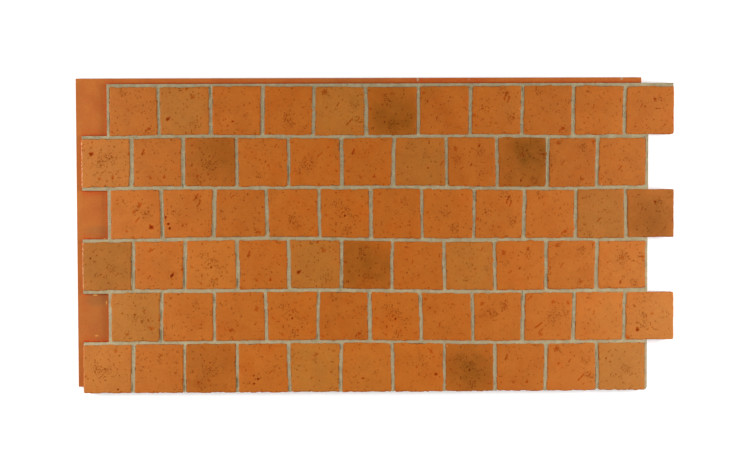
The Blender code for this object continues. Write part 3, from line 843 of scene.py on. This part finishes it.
def tileSurface(row, column):
    # One tile face with its walls: a square grid, rounded at its corners and moved with the
    # laid sides. Its height is rim - drop (1 - d/width)^2.3 near the edge, where d is the
    # distance from the outline, plus a crown and slow waves, less the marks' hollows.
    form = tileForm
    number = row * columns + column
    errors, radii = sideErrors[row, column], cornerRadii[row, column]
    masterName = courseMasters[row].split()[column]
    masterNumber = sorted(masterTiles).index(masterName)
    x, y = np.meshgrid(tileLines(), tileLines())
    steps = np.minimum(np.arange(len(x)), np.arange(len(x))[::-1])
    ring = np.minimum(steps[None, :], steps[:, None])  # 0 at the foot of the wall
    x, y = roundCorners(x, y, radii)
    d = np.maximum(insideDistance(x, y, radii) - form["wallLean"], 0)
    d[ring <= 1] = 0
    half = tileSide / 2
    mark, depth, speckle = markFields(x, y, masterTiles[masterName], masterNumber)

    z = thickness - laying["crown"] - faceDrops[row, column]
    upright = np.minimum(y, tileSide - y) - np.minimum(x, tileSide - x)
    roll = form["levelRoll"] + (1 - form["levelRoll"]) * smooth(0.5 + upright / form["rollBlend"])
    z = z - form["rollDrop"] * roll * (1 - np.clip(d / form["rollWidth"], 0, 1))**2.3
    z += laying["crown"] * (1 - ((x - half) / half)**2) * (1 - ((y - half) / half)**2)
    longWave, shortWave = form["slowWaves"]
    uneven = cloud(x, y, longWave, 300 + number) + 0.5 * cloud(x, y, shortWave, 400 + number) - 1
    z += uneven * form["uneven"] * smooth(d / form["unevenFade"])
    nibble = np.clip(cloud(x, y, form["nibbleCell"], 500 + number) - form["nibbleFrom"], 0, None)
    z -= form["nibbleDepth"] * nibble * (1 - smooth(d / form["nibbleWidth"]))
    z -= depth * smooth(d / form["markFade"])
    free = freeSides(row, column)
    z[ring == 0] = (flangeTop - form["sunk"] if leftSide in free
                    else lapLevel + form["footOverlap"])

    sideDistance = [x, tileSide - x, y, tileSide - y]
    ripple = edgeRipple(x, y, 600 + number) * np.exp(-d / form["rippleFade"])
    bites = np.clip(cloud(x, y, form["biteCell"], 700 + number) - form["biteFrom"], 0, None)
    bites *= np.exp(-d / form["biteFade"])
    ripple = np.minimum(ripple + form["bite"] * bites, form["mostInwards"])
    for side in free:  # less ripple where the next panel meets this one
        share = form["outerRipple"][0 if side == bottomSide and row == rows - 1 else 1]
        ripple = ripple * np.where(sideDistance[side] < form["outerWidth"], share, 1)
    reach = np.maximum(np.hypot(x - half, y - half), 1e-6)
    strayX, strayY = strayShift(x, y, errors)
    cornerX, cornerY = tileCorner(row, column)
    panelX = cornerX + x + strayX - ripple * (x - half) / reach
    panelY = cornerY + y + strayY - ripple * (y - half) / reach
    points = np.stack([np.minimum(panelX, boxHigh.x - form["inBox"]),
                       np.maximum(panelY, boxLow.y + form["inBox"]),
                       np.minimum(z, thickness)], axis=-1)

    end = (cornerX + x) / form["endReach"]  # -1 at the panel's left end, 1 at its right end
    facing = np.clip([0.5 - end, 0.5 + end], 0, 1)  # of the left and right edges
    # wash along each side, plus painted shade on the upright edge that faces away from the nearer end
    strengths = [form["wash"][0] + form["paintedEdgeShade"] * facing[1],
                 form["wash"][1] + form["paintedEdgeShade"] * facing[0], *form["wash"][2:]]
    wash = np.max([strength * np.clip(1 - far / width, 0, 1) for strength, width, far
                   in zip(strengths, form["washWidth"], sideDistance)], axis=0)
    # painted highlight on the upright edge that faces the nearer end; the outer left edges are scuffed,
    # with painted highlight as well
    rub = form["paintedEdgeHighlight"] * np.max([share * (1 - smooth(far / form["rubWidth"])) for share, far
                                    in zip(facing, sideDistance)], axis=0)
    chip = np.zeros_like(x)
    if leftSide in free:
        rub = np.maximum(rub, rubbedLeftSides[row] * (1 - smooth(x / form["leftRubWidth"])))
    here = (row + 1, column + 1)
    for course, tile, across, up, size in tileChips:
        if (course, tile) == here:
            far = np.hypot(x - across * tileSide, y - up * tileSide) * 2000 / size
            chip = np.maximum(chip, smooth(1.6 - far))
    ochre, smoke = [cloudField(x, y, [blob[2:] for blob in clouds if blob[:2] == here])
                    for clouds in (ochreClouds, smokeClouds)]
    # painted sheen, growing towards the panel's ends, less at the upper right
    thinned = form["rightSheen"] * np.clip(end, 0, 1) * (1 - row / (rows - 1))
    fields = {
        "mark": mark,
        "speckle": speckle + form["strayPits"],
        "ochre": ochre,
        "haze": form["sheenAtEnds"] * end**2 * (1 - thinned),
        "smoke": smoke,
        "tone": np.full_like(x, tones[row, column]),
        "pool": wash,
        "rub": rub,
        "chip": chip,
        "masterPlace": np.stack([x + 0.37 * masterNumber, y, 0 * x], axis=-1),
    }
    return points, fields


def tileCourse(row):
    # the tiles of one course as one mesh, each with a flat cap beneath its walls
    points, quads, caps, fields = [], [], [], {}
    for column in range(columns):
        surface, tileFields = tileSurface(row, column)
        count = len(surface)
        start = column * count**2
        number = np.arange(count**2).reshape(count, count) + start
        foot = np.concatenate([number[0, :-1], number[:-1, -1], number[-1, :0:-1],
                               number[:0:-1, 0]])
        points.append(surface.reshape(-1, 3))
        quads.append(gridQuads(count, count) + start)
        caps.append(foot[::-1])
        for label, values in tileFields.items():
            shape = (-1, 3) if values.ndim == 3 else -1
            fields.setdefault(label, []).append(values.reshape(shape))
    fields = {label: np.concatenate(values) for label, values in fields.items()}
    mesh = buildMesh("tile_course", np.concatenate(points), np.concatenate(quads), fields, caps)
    unrollTiles(mesh)
    finishPiece("tile_course_%d" % (row + 1), mesh, [tileMaterial])


def unrollTiles(mesh):
    # UV map for the bake: the tiles lie in a sheet of four by three, each with its walls
    # folded out, and their hidden undersides share the last place.
    steps = np.diff(tileLines())
    steps[[0, -1]] = thickness - lapLevel
    share = np.concatenate([[0], np.cumsum(steps)]) / steps.sum()
    u, v = np.meshgrid(0.01 + 0.98 * share, 0.01 + 0.98 * share)
    place = np.stack([u, v], axis=-1).reshape(-1, 2)
    tile = np.repeat(np.arange(columns), len(place))
    sheet = np.tile(place, (columns, 1)) + np.stack([tile % 4, tile // 4], axis=-1)
    loops = np.zeros(len(mesh.loops), np.int32)
    mesh.loops.foreach_get("vertex_index", loops)
    unrolled = sheet[loops]
    quadLoops = 4 * columns * (len(share) - 1)**2
    capTile = tile[loops[quadLoops:]]
    unrolled[quadLoops:] = place[loops[quadLoops:] % len(place)] * 0.2 + np.stack(
        [3.1 + 0.25 * (capTile % 3), 2.0 + 0.25 * (capTile // 3)], axis=-1)
    uv = mesh.uv_layers.new(name="OFBake")
    uv.data.foreach_set("uv", (unrolled / (4, 3)).astype(np.float32).ravel())


# Grout and the body's raised part

groutForm = {
    "cell": 0.00157,
    "fill": 0.0004,  # how much fuller the joints are than the solid's
    "scoop": 0.00035,  # how far the middle of a joint sags
    "bedClimb": 0.45,  # share of the climb beside the bed joints
    "bedFill": 0.0003,
    "climb": 0.0009,  # how far it climbs the tiles' walls and over their rolled edge
    "climbReach": 0.0010,
    "rough": 0.00016,
    "smear": 0.0018,
    "ease": 0.0009,  # radius of its free edges
    "under": 0.0016,  # how far it goes on beneath a tile
    "tuck": 0.0014,  # how far of that it stays at the height of the joint's edge
    "sunk": 0.0008,
    "darkInset": 0.0011,
    "darkReach": 0.0022,
    "upperDarkening": 0.28,  # the grout is a little darker towards the top
    "uprightShade": 0.07,  # painted shade in the upright joints
    "rightSetbacks": (0.0, 0.0012, 0.0020),  # of its right ends in courses 2, 4 and 6
    "tuckedIn": 0.0026,  # how much further in it ends below the lowest tiles
    "notch": (0.5016, 0.0036, 0.0050),  # gap in its lower edge: across, depth, half width
    "wornCorner": 0.0085,  # radius of the panel's lower right corner
    "wearReach": 0.0065,  # how far up the moves of its lower edge are felt
    "ringInset": 0.0004,  # less than half the ease, or the ring would cross itself
    "bedHalf": 0.0045,  # half height of a bed joint with its edges
    "bedBlend": 0.002,
    "roughCells": (0.0042, 0.0021),
    "smearCell": 0.013,
    "smearReach": 0.0015,
    "creep": 0.3,  # tint that crept over from the tiles
    "creepReach": 0.0009,
    "coatBelow": 0.0016,  # its walls show the base coat from this far below the joints
    "rimCells": 1.2,  # how many cells are kept beside its rim, beneath the tiles too
    "fineRough": 0.6,
    "smearFrom": 0.25,
    "soilCells": (0.021, 0.009),
    "soil": (2, 0.5, 0.16),  # gain of the two cells' product, where soil begins, its most
    "darkFade": 0.002,
    "lookUp": 0.003,  # how far above itself the lower edge looks for a tile
    "tuckBlend": (0.0005, 0.0015),
}
# Dirt and painted shadow in the upright joints: course, joint, share down from the top, length
# as a share of the tile's side, and strength. It lies against the tile on the left, as the
# shadow that tile casts.
groutStainsAndShadows = readRows(
    "1 1 8 25 60, 1 2 10 30 90, 1 2 80 35 40, 2 2 97 6 100, 2 2 55 30 30, 2 3 45 35 40, "
    "2 4 30 50 40, 2 4 75 40 90, 2 9 40 60 40, 3 1 45 45 60, 3 1 85 30 100, 4 1 90 30 40, "
    "4 2 60 30 70, 4 5 97 12 50, 4 6 50 90 30, 5 1 45 30 50, 5 1 85 20 80, 5 2 12 15 80, "
    "5 7 15 12 50, 6 2 75 40 40, 6 3 84 14 90, 6 7 25 30 30, 5 1 2 10 70, 5 1 94 14 80, "
    "6 1 5 14 50, 6 1 88 20 70, 6 2 16 10 50, 6 2 88 12 90, 6 3 75 14 100, 5 4 3 16 60, "
    "5 4 90 16 50, 5 5 5 16 60, 6 5 5 12 50, 6 5 84 20 50, 6 4 90 14 50, 6 6 7 14 50, "
    "5 7 55 20 40, 5 7 85 16 40, 5 8 8 20 80, 5 8 70 20 40, 5 6 14 24 50, 5 9 8 14 70, "
    "5 9 80 20 40, 6 10 22 14 70, 5 10 45 60 30, 1 7 5 12 50, 1 8 6 12 90, 1 9 45 70 30, "
    "2 10 55 80 30, 3 1 50 100 60, 3 2 80 25 60, 4 1 50 100 40, 4 2 75 50 80, 4 3 30 35 50, "
    "4 3 85 22 80, 5 7 50 100 50, 5 8 45 100 50, 5 9 50 100 50, 5 10 50 100 40, 6 9 50 90 30, "
    "6 10 45 90 50, 1 8 30 50 40, 2 2 80 40 50")


def faceOutline():
    # Corners of the raised part, anticlockwise: tongues on the right, pockets on the left
    setback = layout["groutSetback"]
    edge, pocket = faceLeft + setback, faceLeft + stagger
    tongue = faceRight + stagger - setback
    ends = [faceRight - short for short in groutForm["rightSetbacks"]]
    corners = [(edge, faceBottom + setback), (ends[-1], faceBottom + setback)]
    for row in reversed(range(rows)):
        if projects(row):
            low, high = courseSpan(row)
            corners += [(ends[row // 2], low + setback), (tongue, low + setback)]
            if row > 0:
                corners += [(tongue, high - setback), (ends[row // 2 - 1], high - setback)]
    corners += [(tongue, faceTop), (pocket, faceTop)]
    for row in range(rows):
        if projects(row):
            low, high = courseSpan(row)
            if row > 0:
                corners += [(edge, high), (pocket, high)]
            corners += [(pocket, low), (edge, low)]
    return np.array(corners)


def insideOutline(x, y, corners):
    # odd count of the upright sides that lie to the right
    inside = np.zeros(x.shape, bool)
    for (x0, y0), (x1, y1) in zip(corners, np.roll(corners, -1, axis=0)):
        if x0 == x1:
            inside ^= (x < x0) & (y >= min(y0, y1)) & (y < max(y0, y1))
    return inside


def outlineDistance(x, y, corners):
    # least distance to the sides of an outline of level and upright sides
    best = np.full(x.shape, 1.0)
    for (x0, y0), (x1, y1) in zip(corners, np.roll(corners, -1, axis=0)):
        dx = x - np.clip(x, min(x0, x1), max(x0, x1))
        dy = y - np.clip(y, min(y0, y1), max(y0, y1))
        best = np.minimum(best, np.hypot(dx, dy))
    return best


def gridLines(cell, exact, beside):
    # even lines, with exact ones where the outline's sides lie and finer ones beside them
    exact = np.unique(np.round(exact, 6))
    low, high = exact[0], exact[-1]
    even = np.linspace(low, high, int(round((high - low) / cell)) + 1)
    kept = np.concatenate([exact] + [exact + side * step for step in beside for side in (-1, 1)])
    kept = np.unique(np.round(kept[(kept > low - 1e-7) & (kept < high + 1e-7)], 7))
    gap = np.abs(even[:, None] - kept[None]).min(axis=1)
    return np.sort(np.concatenate([even[gap > cell * 0.45], kept]))


def reliefSolid(name, xs, ys, kept, heights, rings, onRim, fields, wear=None):
    # A closed solid from a field of heights: the kept cells of the grid are its top, rings
    # of (inset, height) carry its outer edge down, and flat lids close the rest. Wear moves
    # the edge before the lids are laid, so that none of their faces folds over.
    x, y = np.meshgrid(xs, ys)
    used, quads = np.unique(gridQuads(len(xs), len(ys))[kept.ravel()], return_inverse=True)
    quads = quads.reshape(-1, 4)
    points = np.stack([x.ravel()[used], y.ravel()[used], heights.ravel()[used]], axis=-1)
    fields = {label: values.ravel()[used] for label, values in fields.items()}

    starts, ends = quads.ravel(), np.roll(quads, -1, axis=1).ravel()
    alone = ~np.isin(starts * len(points) + ends, ends * len(points) + starts)
    starts, ends = starts[alone], ends[alone]
    middles = (points[starts, :2] + points[ends, :2]) / 2
    outer = onRim(middles[:, 0], middles[:, 1])
    starts, ends = starts[outer], ends[outer]
    along = np.sign(np.round(points[ends, :2] - points[starts, :2], 7))
    outward = np.zeros((len(points), 2))
    np.add.at(outward, starts, np.stack([along[:, 1], -along[:, 0]], axis=-1))
    np.add.at(outward, ends, np.stack([along[:, 1], -along[:, 0]], axis=-1))
    rim = np.unique(np.concatenate([starts, ends]))
    outward = np.sign(outward[rim])
    startPlace, endPlace = np.searchsorted(rim, starts), np.searchsorted(rim, ends)

    allPoints, allQuads, last = [points], [quads], rim
    for inset, level in rings:
        ring = points[rim].copy()
        ring[:, :2] -= outward * inset
        ring[:, 2] = level(ring[:, 0], ring[:, 1])
        numbers = sum(len(part) for part in allPoints) + np.arange(len(rim))
        allQuads.append(np.stack([last[endPlace], last[startPlace], numbers[startPlace],
                                  numbers[endPlace]], axis=-1))
        allPoints.append(ring)
        last = numbers
    fields = {label: np.concatenate([values] + [values[rim]] * len(rings))
              for label, values in fields.items()}
    mesh = buildMesh(name, np.concatenate(allPoints), np.concatenate(allQuads), fields)
    if wear:
        wear(mesh)

    shell = bmesh.new()
    shell.from_mesh(mesh)
    foot = allPoints[-1][:, 2].max() + 1e-5
    bare = [edge for edge in shell.edges if edge.is_boundary]
    under = [edge for edge in bare if max(corner.co.z for corner in edge.verts) < foot]
    bmesh.ops.holes_fill(shell, edges=list(set(bare) - set(under)), sides=0)
    bmesh.ops.triangle_fill(shell, edges=under, use_beauty=False, use_dissolve=False)
    bmesh.ops.recalc_face_normals(shell, faces=shell.faces)
    shell.to_mesh(mesh)
    shell.free()
    return mesh


def easedDrop(distance, radius):
    # quarter circle at a free edge
    t = 1 - np.clip(distance / radius, 0, 1)
    return radius * (1 - np.sqrt(1 - t * t))


def tileGap(x, y, xs, ys):
    # distance outside the nearest laid tile, negative beneath it
    gap = np.full(x.shape, 0.02)
    reach = 0.008
    for row in range(rows):
        for column in range(columns):
            cornerX, cornerY = tileCorner(row, column)
            i0, i1 = np.searchsorted(xs, (cornerX - reach, cornerX + tileSide + reach))
            j0, j1 = np.searchsorted(ys, (cornerY - reach, cornerY + tileSide + reach))
            localX, localY = x[j0:j1, i0:i1] - cornerX, y[j0:j1, i0:i1] - cornerY
            strayX, strayY = strayShift(np.clip(localX, 0, tileSide),
                                        np.clip(localY, 0, tileSide), sideErrors[row, column])
            inside = insideDistance(localX - strayX, localY - strayY, cornerRadii[row, column])
            gap[j0:j1, i0:i1] = np.minimum(gap[j0:j1, i0:i1], -inside)
    return gap


def wearEdge(mesh, cornerX, cornerY):
    # Moves the lower edge in beneath the tiles and at a gap, less with the distance from it.
    # Then the square lower right corner is pressed into a quarter disc, as a tile's are.
    form = groutForm
    place, gap = np.zeros(len(mesh.vertices) * 3), np.zeros(len(mesh.vertices))
    mesh.vertices.foreach_get("co", place)
    mesh.attributes["gapAbove"].data.foreach_get("value", gap)
    x, y, z = place.reshape(-1, 3).T
    across, depth, halfWidth = form["notch"]
    start, blend = form["tuckBlend"]
    inwards = form["tuckedIn"] * smooth((-gap - start) / blend)
    inwards = np.maximum(inwards, depth * smooth(1.5 - np.abs(x - across) / halfWidth))
    y = y + inwards * np.clip(1 - (y - cornerY) / form["wearReach"], 0, 1)
    radius = form["wornCorner"]
    p = np.clip((x - cornerX) / radius + 1, 0, 1)
    q = np.clip((cornerY - y) / radius + 1, 0, 1)
    newX = x - radius * p * (1 - np.sqrt(1 - q**2 / 2))
    newY = y + radius * q * (1 - np.sqrt(1 - p**2 / 2))
    mesh.vertices.foreach_set("co", np.stack([newX, newY, z], axis=-1).ravel())


def groutBed():
    # The joints as a field of heights: a level, less a sag in the middle, plus a climb
    # exp(-gap/reach) beside the tiles and rough clouds, less a quarter circle at the rim.
    form = groutForm
    corners = faceOutline()
    beside = (form["ease"] / 2,)
    xs = gridLines(form["cell"], corners[:, 0], beside)
    ys = gridLines(form["cell"], corners[:, 1], beside)
    x, y = np.meshgrid(xs, ys)
    gap = tileGap(x, y, xs, ys)
    cellX, cellY = np.meshgrid((xs[:-1] + xs[1:]) / 2, (ys[:-1] + ys[1:]) / 2)
    widest = np.maximum.reduce([gap[:-1, :-1], gap[1:, :-1], gap[:-1, 1:], gap[1:, 1:]])
    nearRim = outlineDistance(cellX, cellY, corners) < form["cell"] * form["rimCells"]
    kept = insideOutline(cellX, cellY, corners) & ((widest > -form["under"]) | nearRim)

    clear = np.clip(gap, 0, None)
    heights = groutLevel + form["fill"] - form["scoop"] * smooth(gap / (joint / 2))
    offBed = np.abs((y - faceTop + joint / 2 + pitch / 2) % pitch - pitch / 2)
    bed = 1 - smooth((offBed - form["bedHalf"]) / form["bedBlend"])
    heights += form["bedFill"] * bed
    heights += form["climb"] * (1 - (1 - form["bedClimb"]) * bed) * np.exp(
        -clear / form["climbReach"])
    coarse, fine = form["roughCells"]
    heights += form["rough"] * (cloud(x, y, coarse, 71) + form["fineRough"] * cloud(x, y, fine, 72))
    smears = np.clip(cloud(x, y, form["smearCell"], 73) - form["smearFrom"], 0, None)
    heights += form["smear"] * smears * np.exp(-clear / form["smearReach"])
    heights = np.where(gap < -form["tuck"], groutLevel - form["sunk"], heights)
    heights -= easedDrop(outlineDistance(x, y, corners), form["ease"])

    wide, narrow = form["soilCells"]
    gain, begins, most = form["soil"]
    stain = np.clip(cloud(x, y, wide, 74) * cloud(x, y, narrow, 75) * gain - begins, 0, most)
    # a little darker towards the top
    stain += form["upperDarkening"] * smooth((y - faceBottom) / (faceTop - faceBottom))
    # painted shade in the upright joints
    stain += form["uprightShade"] * (1 - bed)
    # dirt and painted shadow against the tile on the left of each listed upright joint
    for course, upright, down, length, strength in groutStainsAndShadows:
        cornerX, cornerY = tileCorner(course - 1, upright - 1)
        side = sideOffset(sideErrors[course - 1, upright - 1, rightSide], 1 - down)
        across = cornerX + tileSide + side + form["darkInset"]
        up = cornerY + tileSide * (1 - down)
        halfLength = length * tileSide / 2 + form["darkFade"]
        far = np.hypot((x - across) / form["darkReach"], (y - up) / halfLength)
        stain = np.maximum(stain, strength * smooth(1.4 - far))
    creep = form["creep"] * np.exp(-clear / form["creepReach"]) * (gap < 0.01)
    # the grout's walls take the base coat's foot colour at half: wash and painted shade
    fields = {"stain": stain, "creep": creep, "foot": np.full_like(x, 0.5),
              "gapAbove": tileGap(x, y + form["lookUp"], xs, ys)}
    rings = [
        (0.0, lambda px, py: np.where((px < plateRight) & (py > plateBottom),
                                      flangeTop - form["sunk"], lapLevel)),
        (form["ringInset"], lambda px, py: np.full(px.shape, lapLevel)),
    ]
    mesh = reliefSolid("grout_bed", xs, ys, kept, heights, rings,
                       lambda px, py: outlineDistance(px, py, corners) < 1e-5, fields,
                       lambda worn: wearEdge(worn, *corners[1]))
    paintByFace(mesh, lambda nz, z: (nz < -0.5) | ((nz < 0.3) & (z < groutLevel - form["coatBelow"])))
    finishPiece("grout_bed", mesh, [groutMaterial, coatMaterial])


def paintByFace(mesh, second):
    # the second material goes where the rule on a face's upward normal and height says
    normals, centres = np.zeros((2, len(mesh.polygons) * 3))
    mesh.polygons.foreach_get("normal", normals)
    mesh.polygons.foreach_get("center", centres)
    chosen = second(normals.reshape(-1, 3)[:, 2], centres.reshape(-1, 3)[:, 2])
    mesh.polygons.foreach_set("material_index", chosen.astype(np.int32))


# Back plate with its flange

plateForm = {
    "cell": 0.008,
    "ease": 0.0011,
    "uneven": 0.00010,
    "unevenCell": 0.11,
    "neck": 0.0002,  # how far its middle reaches up into the raised part
    "neckInset": 0.0008,
    # the foot's wash and painted shade: its width beside a step and how far it spreads
    "footWidth": 0.0024,
    "footSpread": 0.011,
    "outerStrip": 0.0095,  # the flange's left strip, which the wash and painted shade hardly reach
    "detailCell": 0.0012,
    "stripBlend": 0.004,
    "footShares": (0.1, 0.5, 0.1),  # of the wash and painted shade: even, close to the outer strip's steps, spread
}
# Spots on the flange: (field, across, up, half width, half height, strength)
flangeSpots = [
    ("scuff", -0.5567, -0.1298, 0.0050, 0.0014, 0.9),
    ("scuff", -0.5336, -0.1463, 0.0014, 0.0036, 1),
    ("scuff", -0.5551, -0.2158, 0.0036, 0.0012, 0.7),
    ("scuff", -0.5353, -0.0120, 0.0030, 0.0014, 0.8),
    ("drop", 0.1228, 0.3200, 0.0020, 0.0040, 0.8),
    ("drop", 0.2301, 0.3200, 0.0012, 0.0026, 0.5),
    ("drop", 0.5521, 0.3215, 0.0020, 0.0030, 0.8),
    ("smoke", -0.5506, -0.1400, 0.0260, 0.0150, 0.4),
    ("smoke", -0.5506, 0.0020, 0.0260, 0.0130, 0.3),
    ("smoke", -0.5519, -0.2240, 0.0012, 0.0030, 0.9),
    ("smoke", -0.5450, -0.1850, 0.0300, 0.0450, 0.14),
    ("smoke", -0.0200, 0.3180, 0.0700, 0.0120, 0.15),
    # more wash and painted shade along the top step's foot
    ("foot", 0.1900, 0.3180, 0.1000, 0.0120, 0.45),
]


def backPlate():
    # A level slab whose edges fall by a quarter circle. Under the raised part it reaches
    # up a little, so that no gap shows between the two.
    form = plateForm
    corners = faceOutline()
    beside = (form["ease"] / 3, form["ease"], form["neckInset"] * 1.5, form["footWidth"])
    xs = gridLines(form["cell"], np.append(corners[:, 0], (plateLeft, plateRight)), beside)
    ys = gridLines(form["cell"], np.append(corners[:, 1], (plateBottom, plateTop)), beside)
    xs, ys = [np.unique(np.round(np.concatenate([lines] + [
        np.arange(spot[axis] - 2 * spot[axis + 2], spot[axis] + 2 * spot[axis + 2],
                  form["detailCell"]) for spot in flangeSpots if spot[0] not in ("smoke", "foot")]), 6))
        for axis, lines in ((1, xs), (2, ys))]
    xs, ys = xs[(xs > plateLeft - 1e-6) & (xs < plateRight + 1e-6)], ys[
        (ys > plateBottom - 1e-6) & (ys < plateTop + 1e-6)]
    x, y = np.meshgrid(xs, ys)
    edge = np.minimum.reduce([x - plateLeft, plateRight - x, y - plateBottom, plateTop - y])
    step = outlineDistance(x, y, corners)
    hidden = insideOutline(x, y, corners) & (step > form["neckInset"])
    heights = flangeTop + form["uneven"] * (cloud(x, y, form["unevenCell"], 81) - 1)
    heights = np.where(hidden, lapLevel + form["neck"], heights - easedDrop(edge, form["ease"]))
    kept = np.ones((len(ys) - 1, len(xs) - 1), bool)

    # wash and painted shade at the foot of each step, hardly on the outer strip
    inner = smooth((x - plateLeft - form["outerStrip"]) / form["stripBlend"])
    even, outer, spread = form["footShares"]
    foot = even * inner + (outer + (1 - outer) * inner) * np.exp(-step / form["footWidth"])
    foot += spread * inner * np.exp(-step / form["footSpread"])
    fields = {"foot": np.clip(foot, 0, 1)}
    for name, across, up, halfWidth, halfHeight, strength in flangeSpots:
        far = np.hypot((x - across) / halfWidth, (y - up) / halfHeight)
        spot = strength * smooth(1.5 - far)
        fields[name] = np.maximum(fields.get(name, 0 * x), spot)
    rings = [  # its foot is eased a little
        (0.0, lambda px, py: np.full(px.shape, form["ease"] / 2)),
        (form["ease"] / 4, lambda px, py: np.zeros(px.shape)),
    ]
    mesh = reliefSolid("back_plate", xs, ys, kept, heights, rings,
                       lambda px, py: np.ones(px.shape, bool), fields)
    paintByFace(mesh, lambda nz, z: nz < -0.9)
    finishPiece("back_plate", mesh, [coatMaterial, foamMaterial])


tileMaterial = handTintedTilePaint()
groutMaterial = sandedGroutPaint()
coatMaterial = mouldedBaseCoat()
foamMaterial = bareFoamSkin()
print("materials made")
for row in range(rows):
    tileCourse(row)
groutBed()
backPlate()


# Stage: floor, lamps and camera

stageSetup = {
    "floorHalf": 6.0,
    "floorLevel": -0.0002,
    "paper": "#e6e6e6",
    "floorGlow": (0.34, 1.0),  # near the panel and far from it
    "glowReach": (0.9, 2.6),
    "ambient": 0.12,
    "lamps": [
        # name, place, aim, size, watts
        ("left_softbox", (-1.90, 0.12, 1.22), (-0.15, 0.0, 0.0), 1.0, 43.4),
        ("right_softbox", (1.90, 0.08, 1.22), (0.15, 0.0, 0.0), 1.0, 43.0),
        ("low_fill", (0.2, -1.6, 1.3), (0.0, 0.0, 0.0), 1.4, 3.5),
    ],
}
cameraSetup = {
    "place": (0.0076, 0.0529, 2.3251),
    "turnDegrees": (-1.457, -0.608, -0.206),
    "lensMm": 52.8,
    "sensorMm": 36.0,
}


def makeFloor():
    # White paper. The camera and reflections see it lifted to pure white, and it still
    # takes the panel's shadow.
    half, level = stageSetup["floorHalf"], stageSetup["floorLevel"]
    corners = np.array([(-half, -half, level), (half, -half, level), (half, half, level),
                        (-half, half, level)])
    mesh = buildMesh("floor", corners, np.array([[0, 1, 2, 3]]), {})
    floor = bpy.data.objects.new("floor", mesh)
    bpy.context.scene.collection.objects.link(floor)
    material, add, place = newMaterial("white_paper")
    path = add("LightPath").outputs
    seen = add("Math MAXIMUM", path["Is Camera Ray"], path["Is Glossy Ray"])
    seen = add("Math MAXIMUM", seen, path["Is Transmission Ray"])
    far = add("VectorMath LENGTH", place)
    strength = add("MapRange", far, *stageSetup["glowReach"], *stageSetup["floorGlow"])
    paper = add("BsdfDiffuse", linear(stageSetup["paper"]))
    lifted = add("AddShader", paper, add("Emission", (1, 1, 1, 1), strength))
    add("OutputMaterial", add("MixShader", seen, paper, lifted))
    mesh.materials.append(material)


def makeWorld():
    world = bpy.data.worlds.new("studio")
    world.use_nodes = True
    world.node_tree.nodes.clear()
    add = functools.partial(addNode, world.node_tree)
    soft = add("Background", (1, 1, 1, 1), stageSetup["ambient"])
    white = add("Background", (1, 1, 1, 1), 1.0)
    seen = add("LightPath").outputs["Is Camera Ray"]
    add("OutputWorld", add("MixShader", seen, soft, white))
    bpy.context.scene.world = world


def makeLamps():
    for name, place, aim, size, watts in stageSetup["lamps"]:
        light = bpy.data.lights.new(name, "AREA")
        light.shape = "SQUARE"
        light.size = size
        light.energy = watts
        lamp = bpy.data.objects.new(name, light)
        lamp.location = place
        lamp.rotation_euler = (Vector(aim) - Vector(place)).to_track_quat("-Z", "Y").to_euler()
        bpy.context.scene.collection.objects.link(lamp)


def makeCamera():
    lens = bpy.data.cameras.new("camera")
    lens.lens = cameraSetup["lensMm"]
    lens.sensor_width = cameraSetup["sensorMm"]
    lens.clip_end = 50
    camera = bpy.data.objects.new("camera", lens)
    camera.location = cameraSetup["place"]
    camera.rotation_euler = [math.radians(turn) for turn in cameraSetup["turnDegrees"]]
    bpy.context.scene.collection.objects.link(camera)
    bpy.context.scene.camera = camera


makeFloor()
makeWorld()
makeLamps()
makeCamera()
bpy.context.scene.view_settings.view_transform = "Standard"
print("stage made")
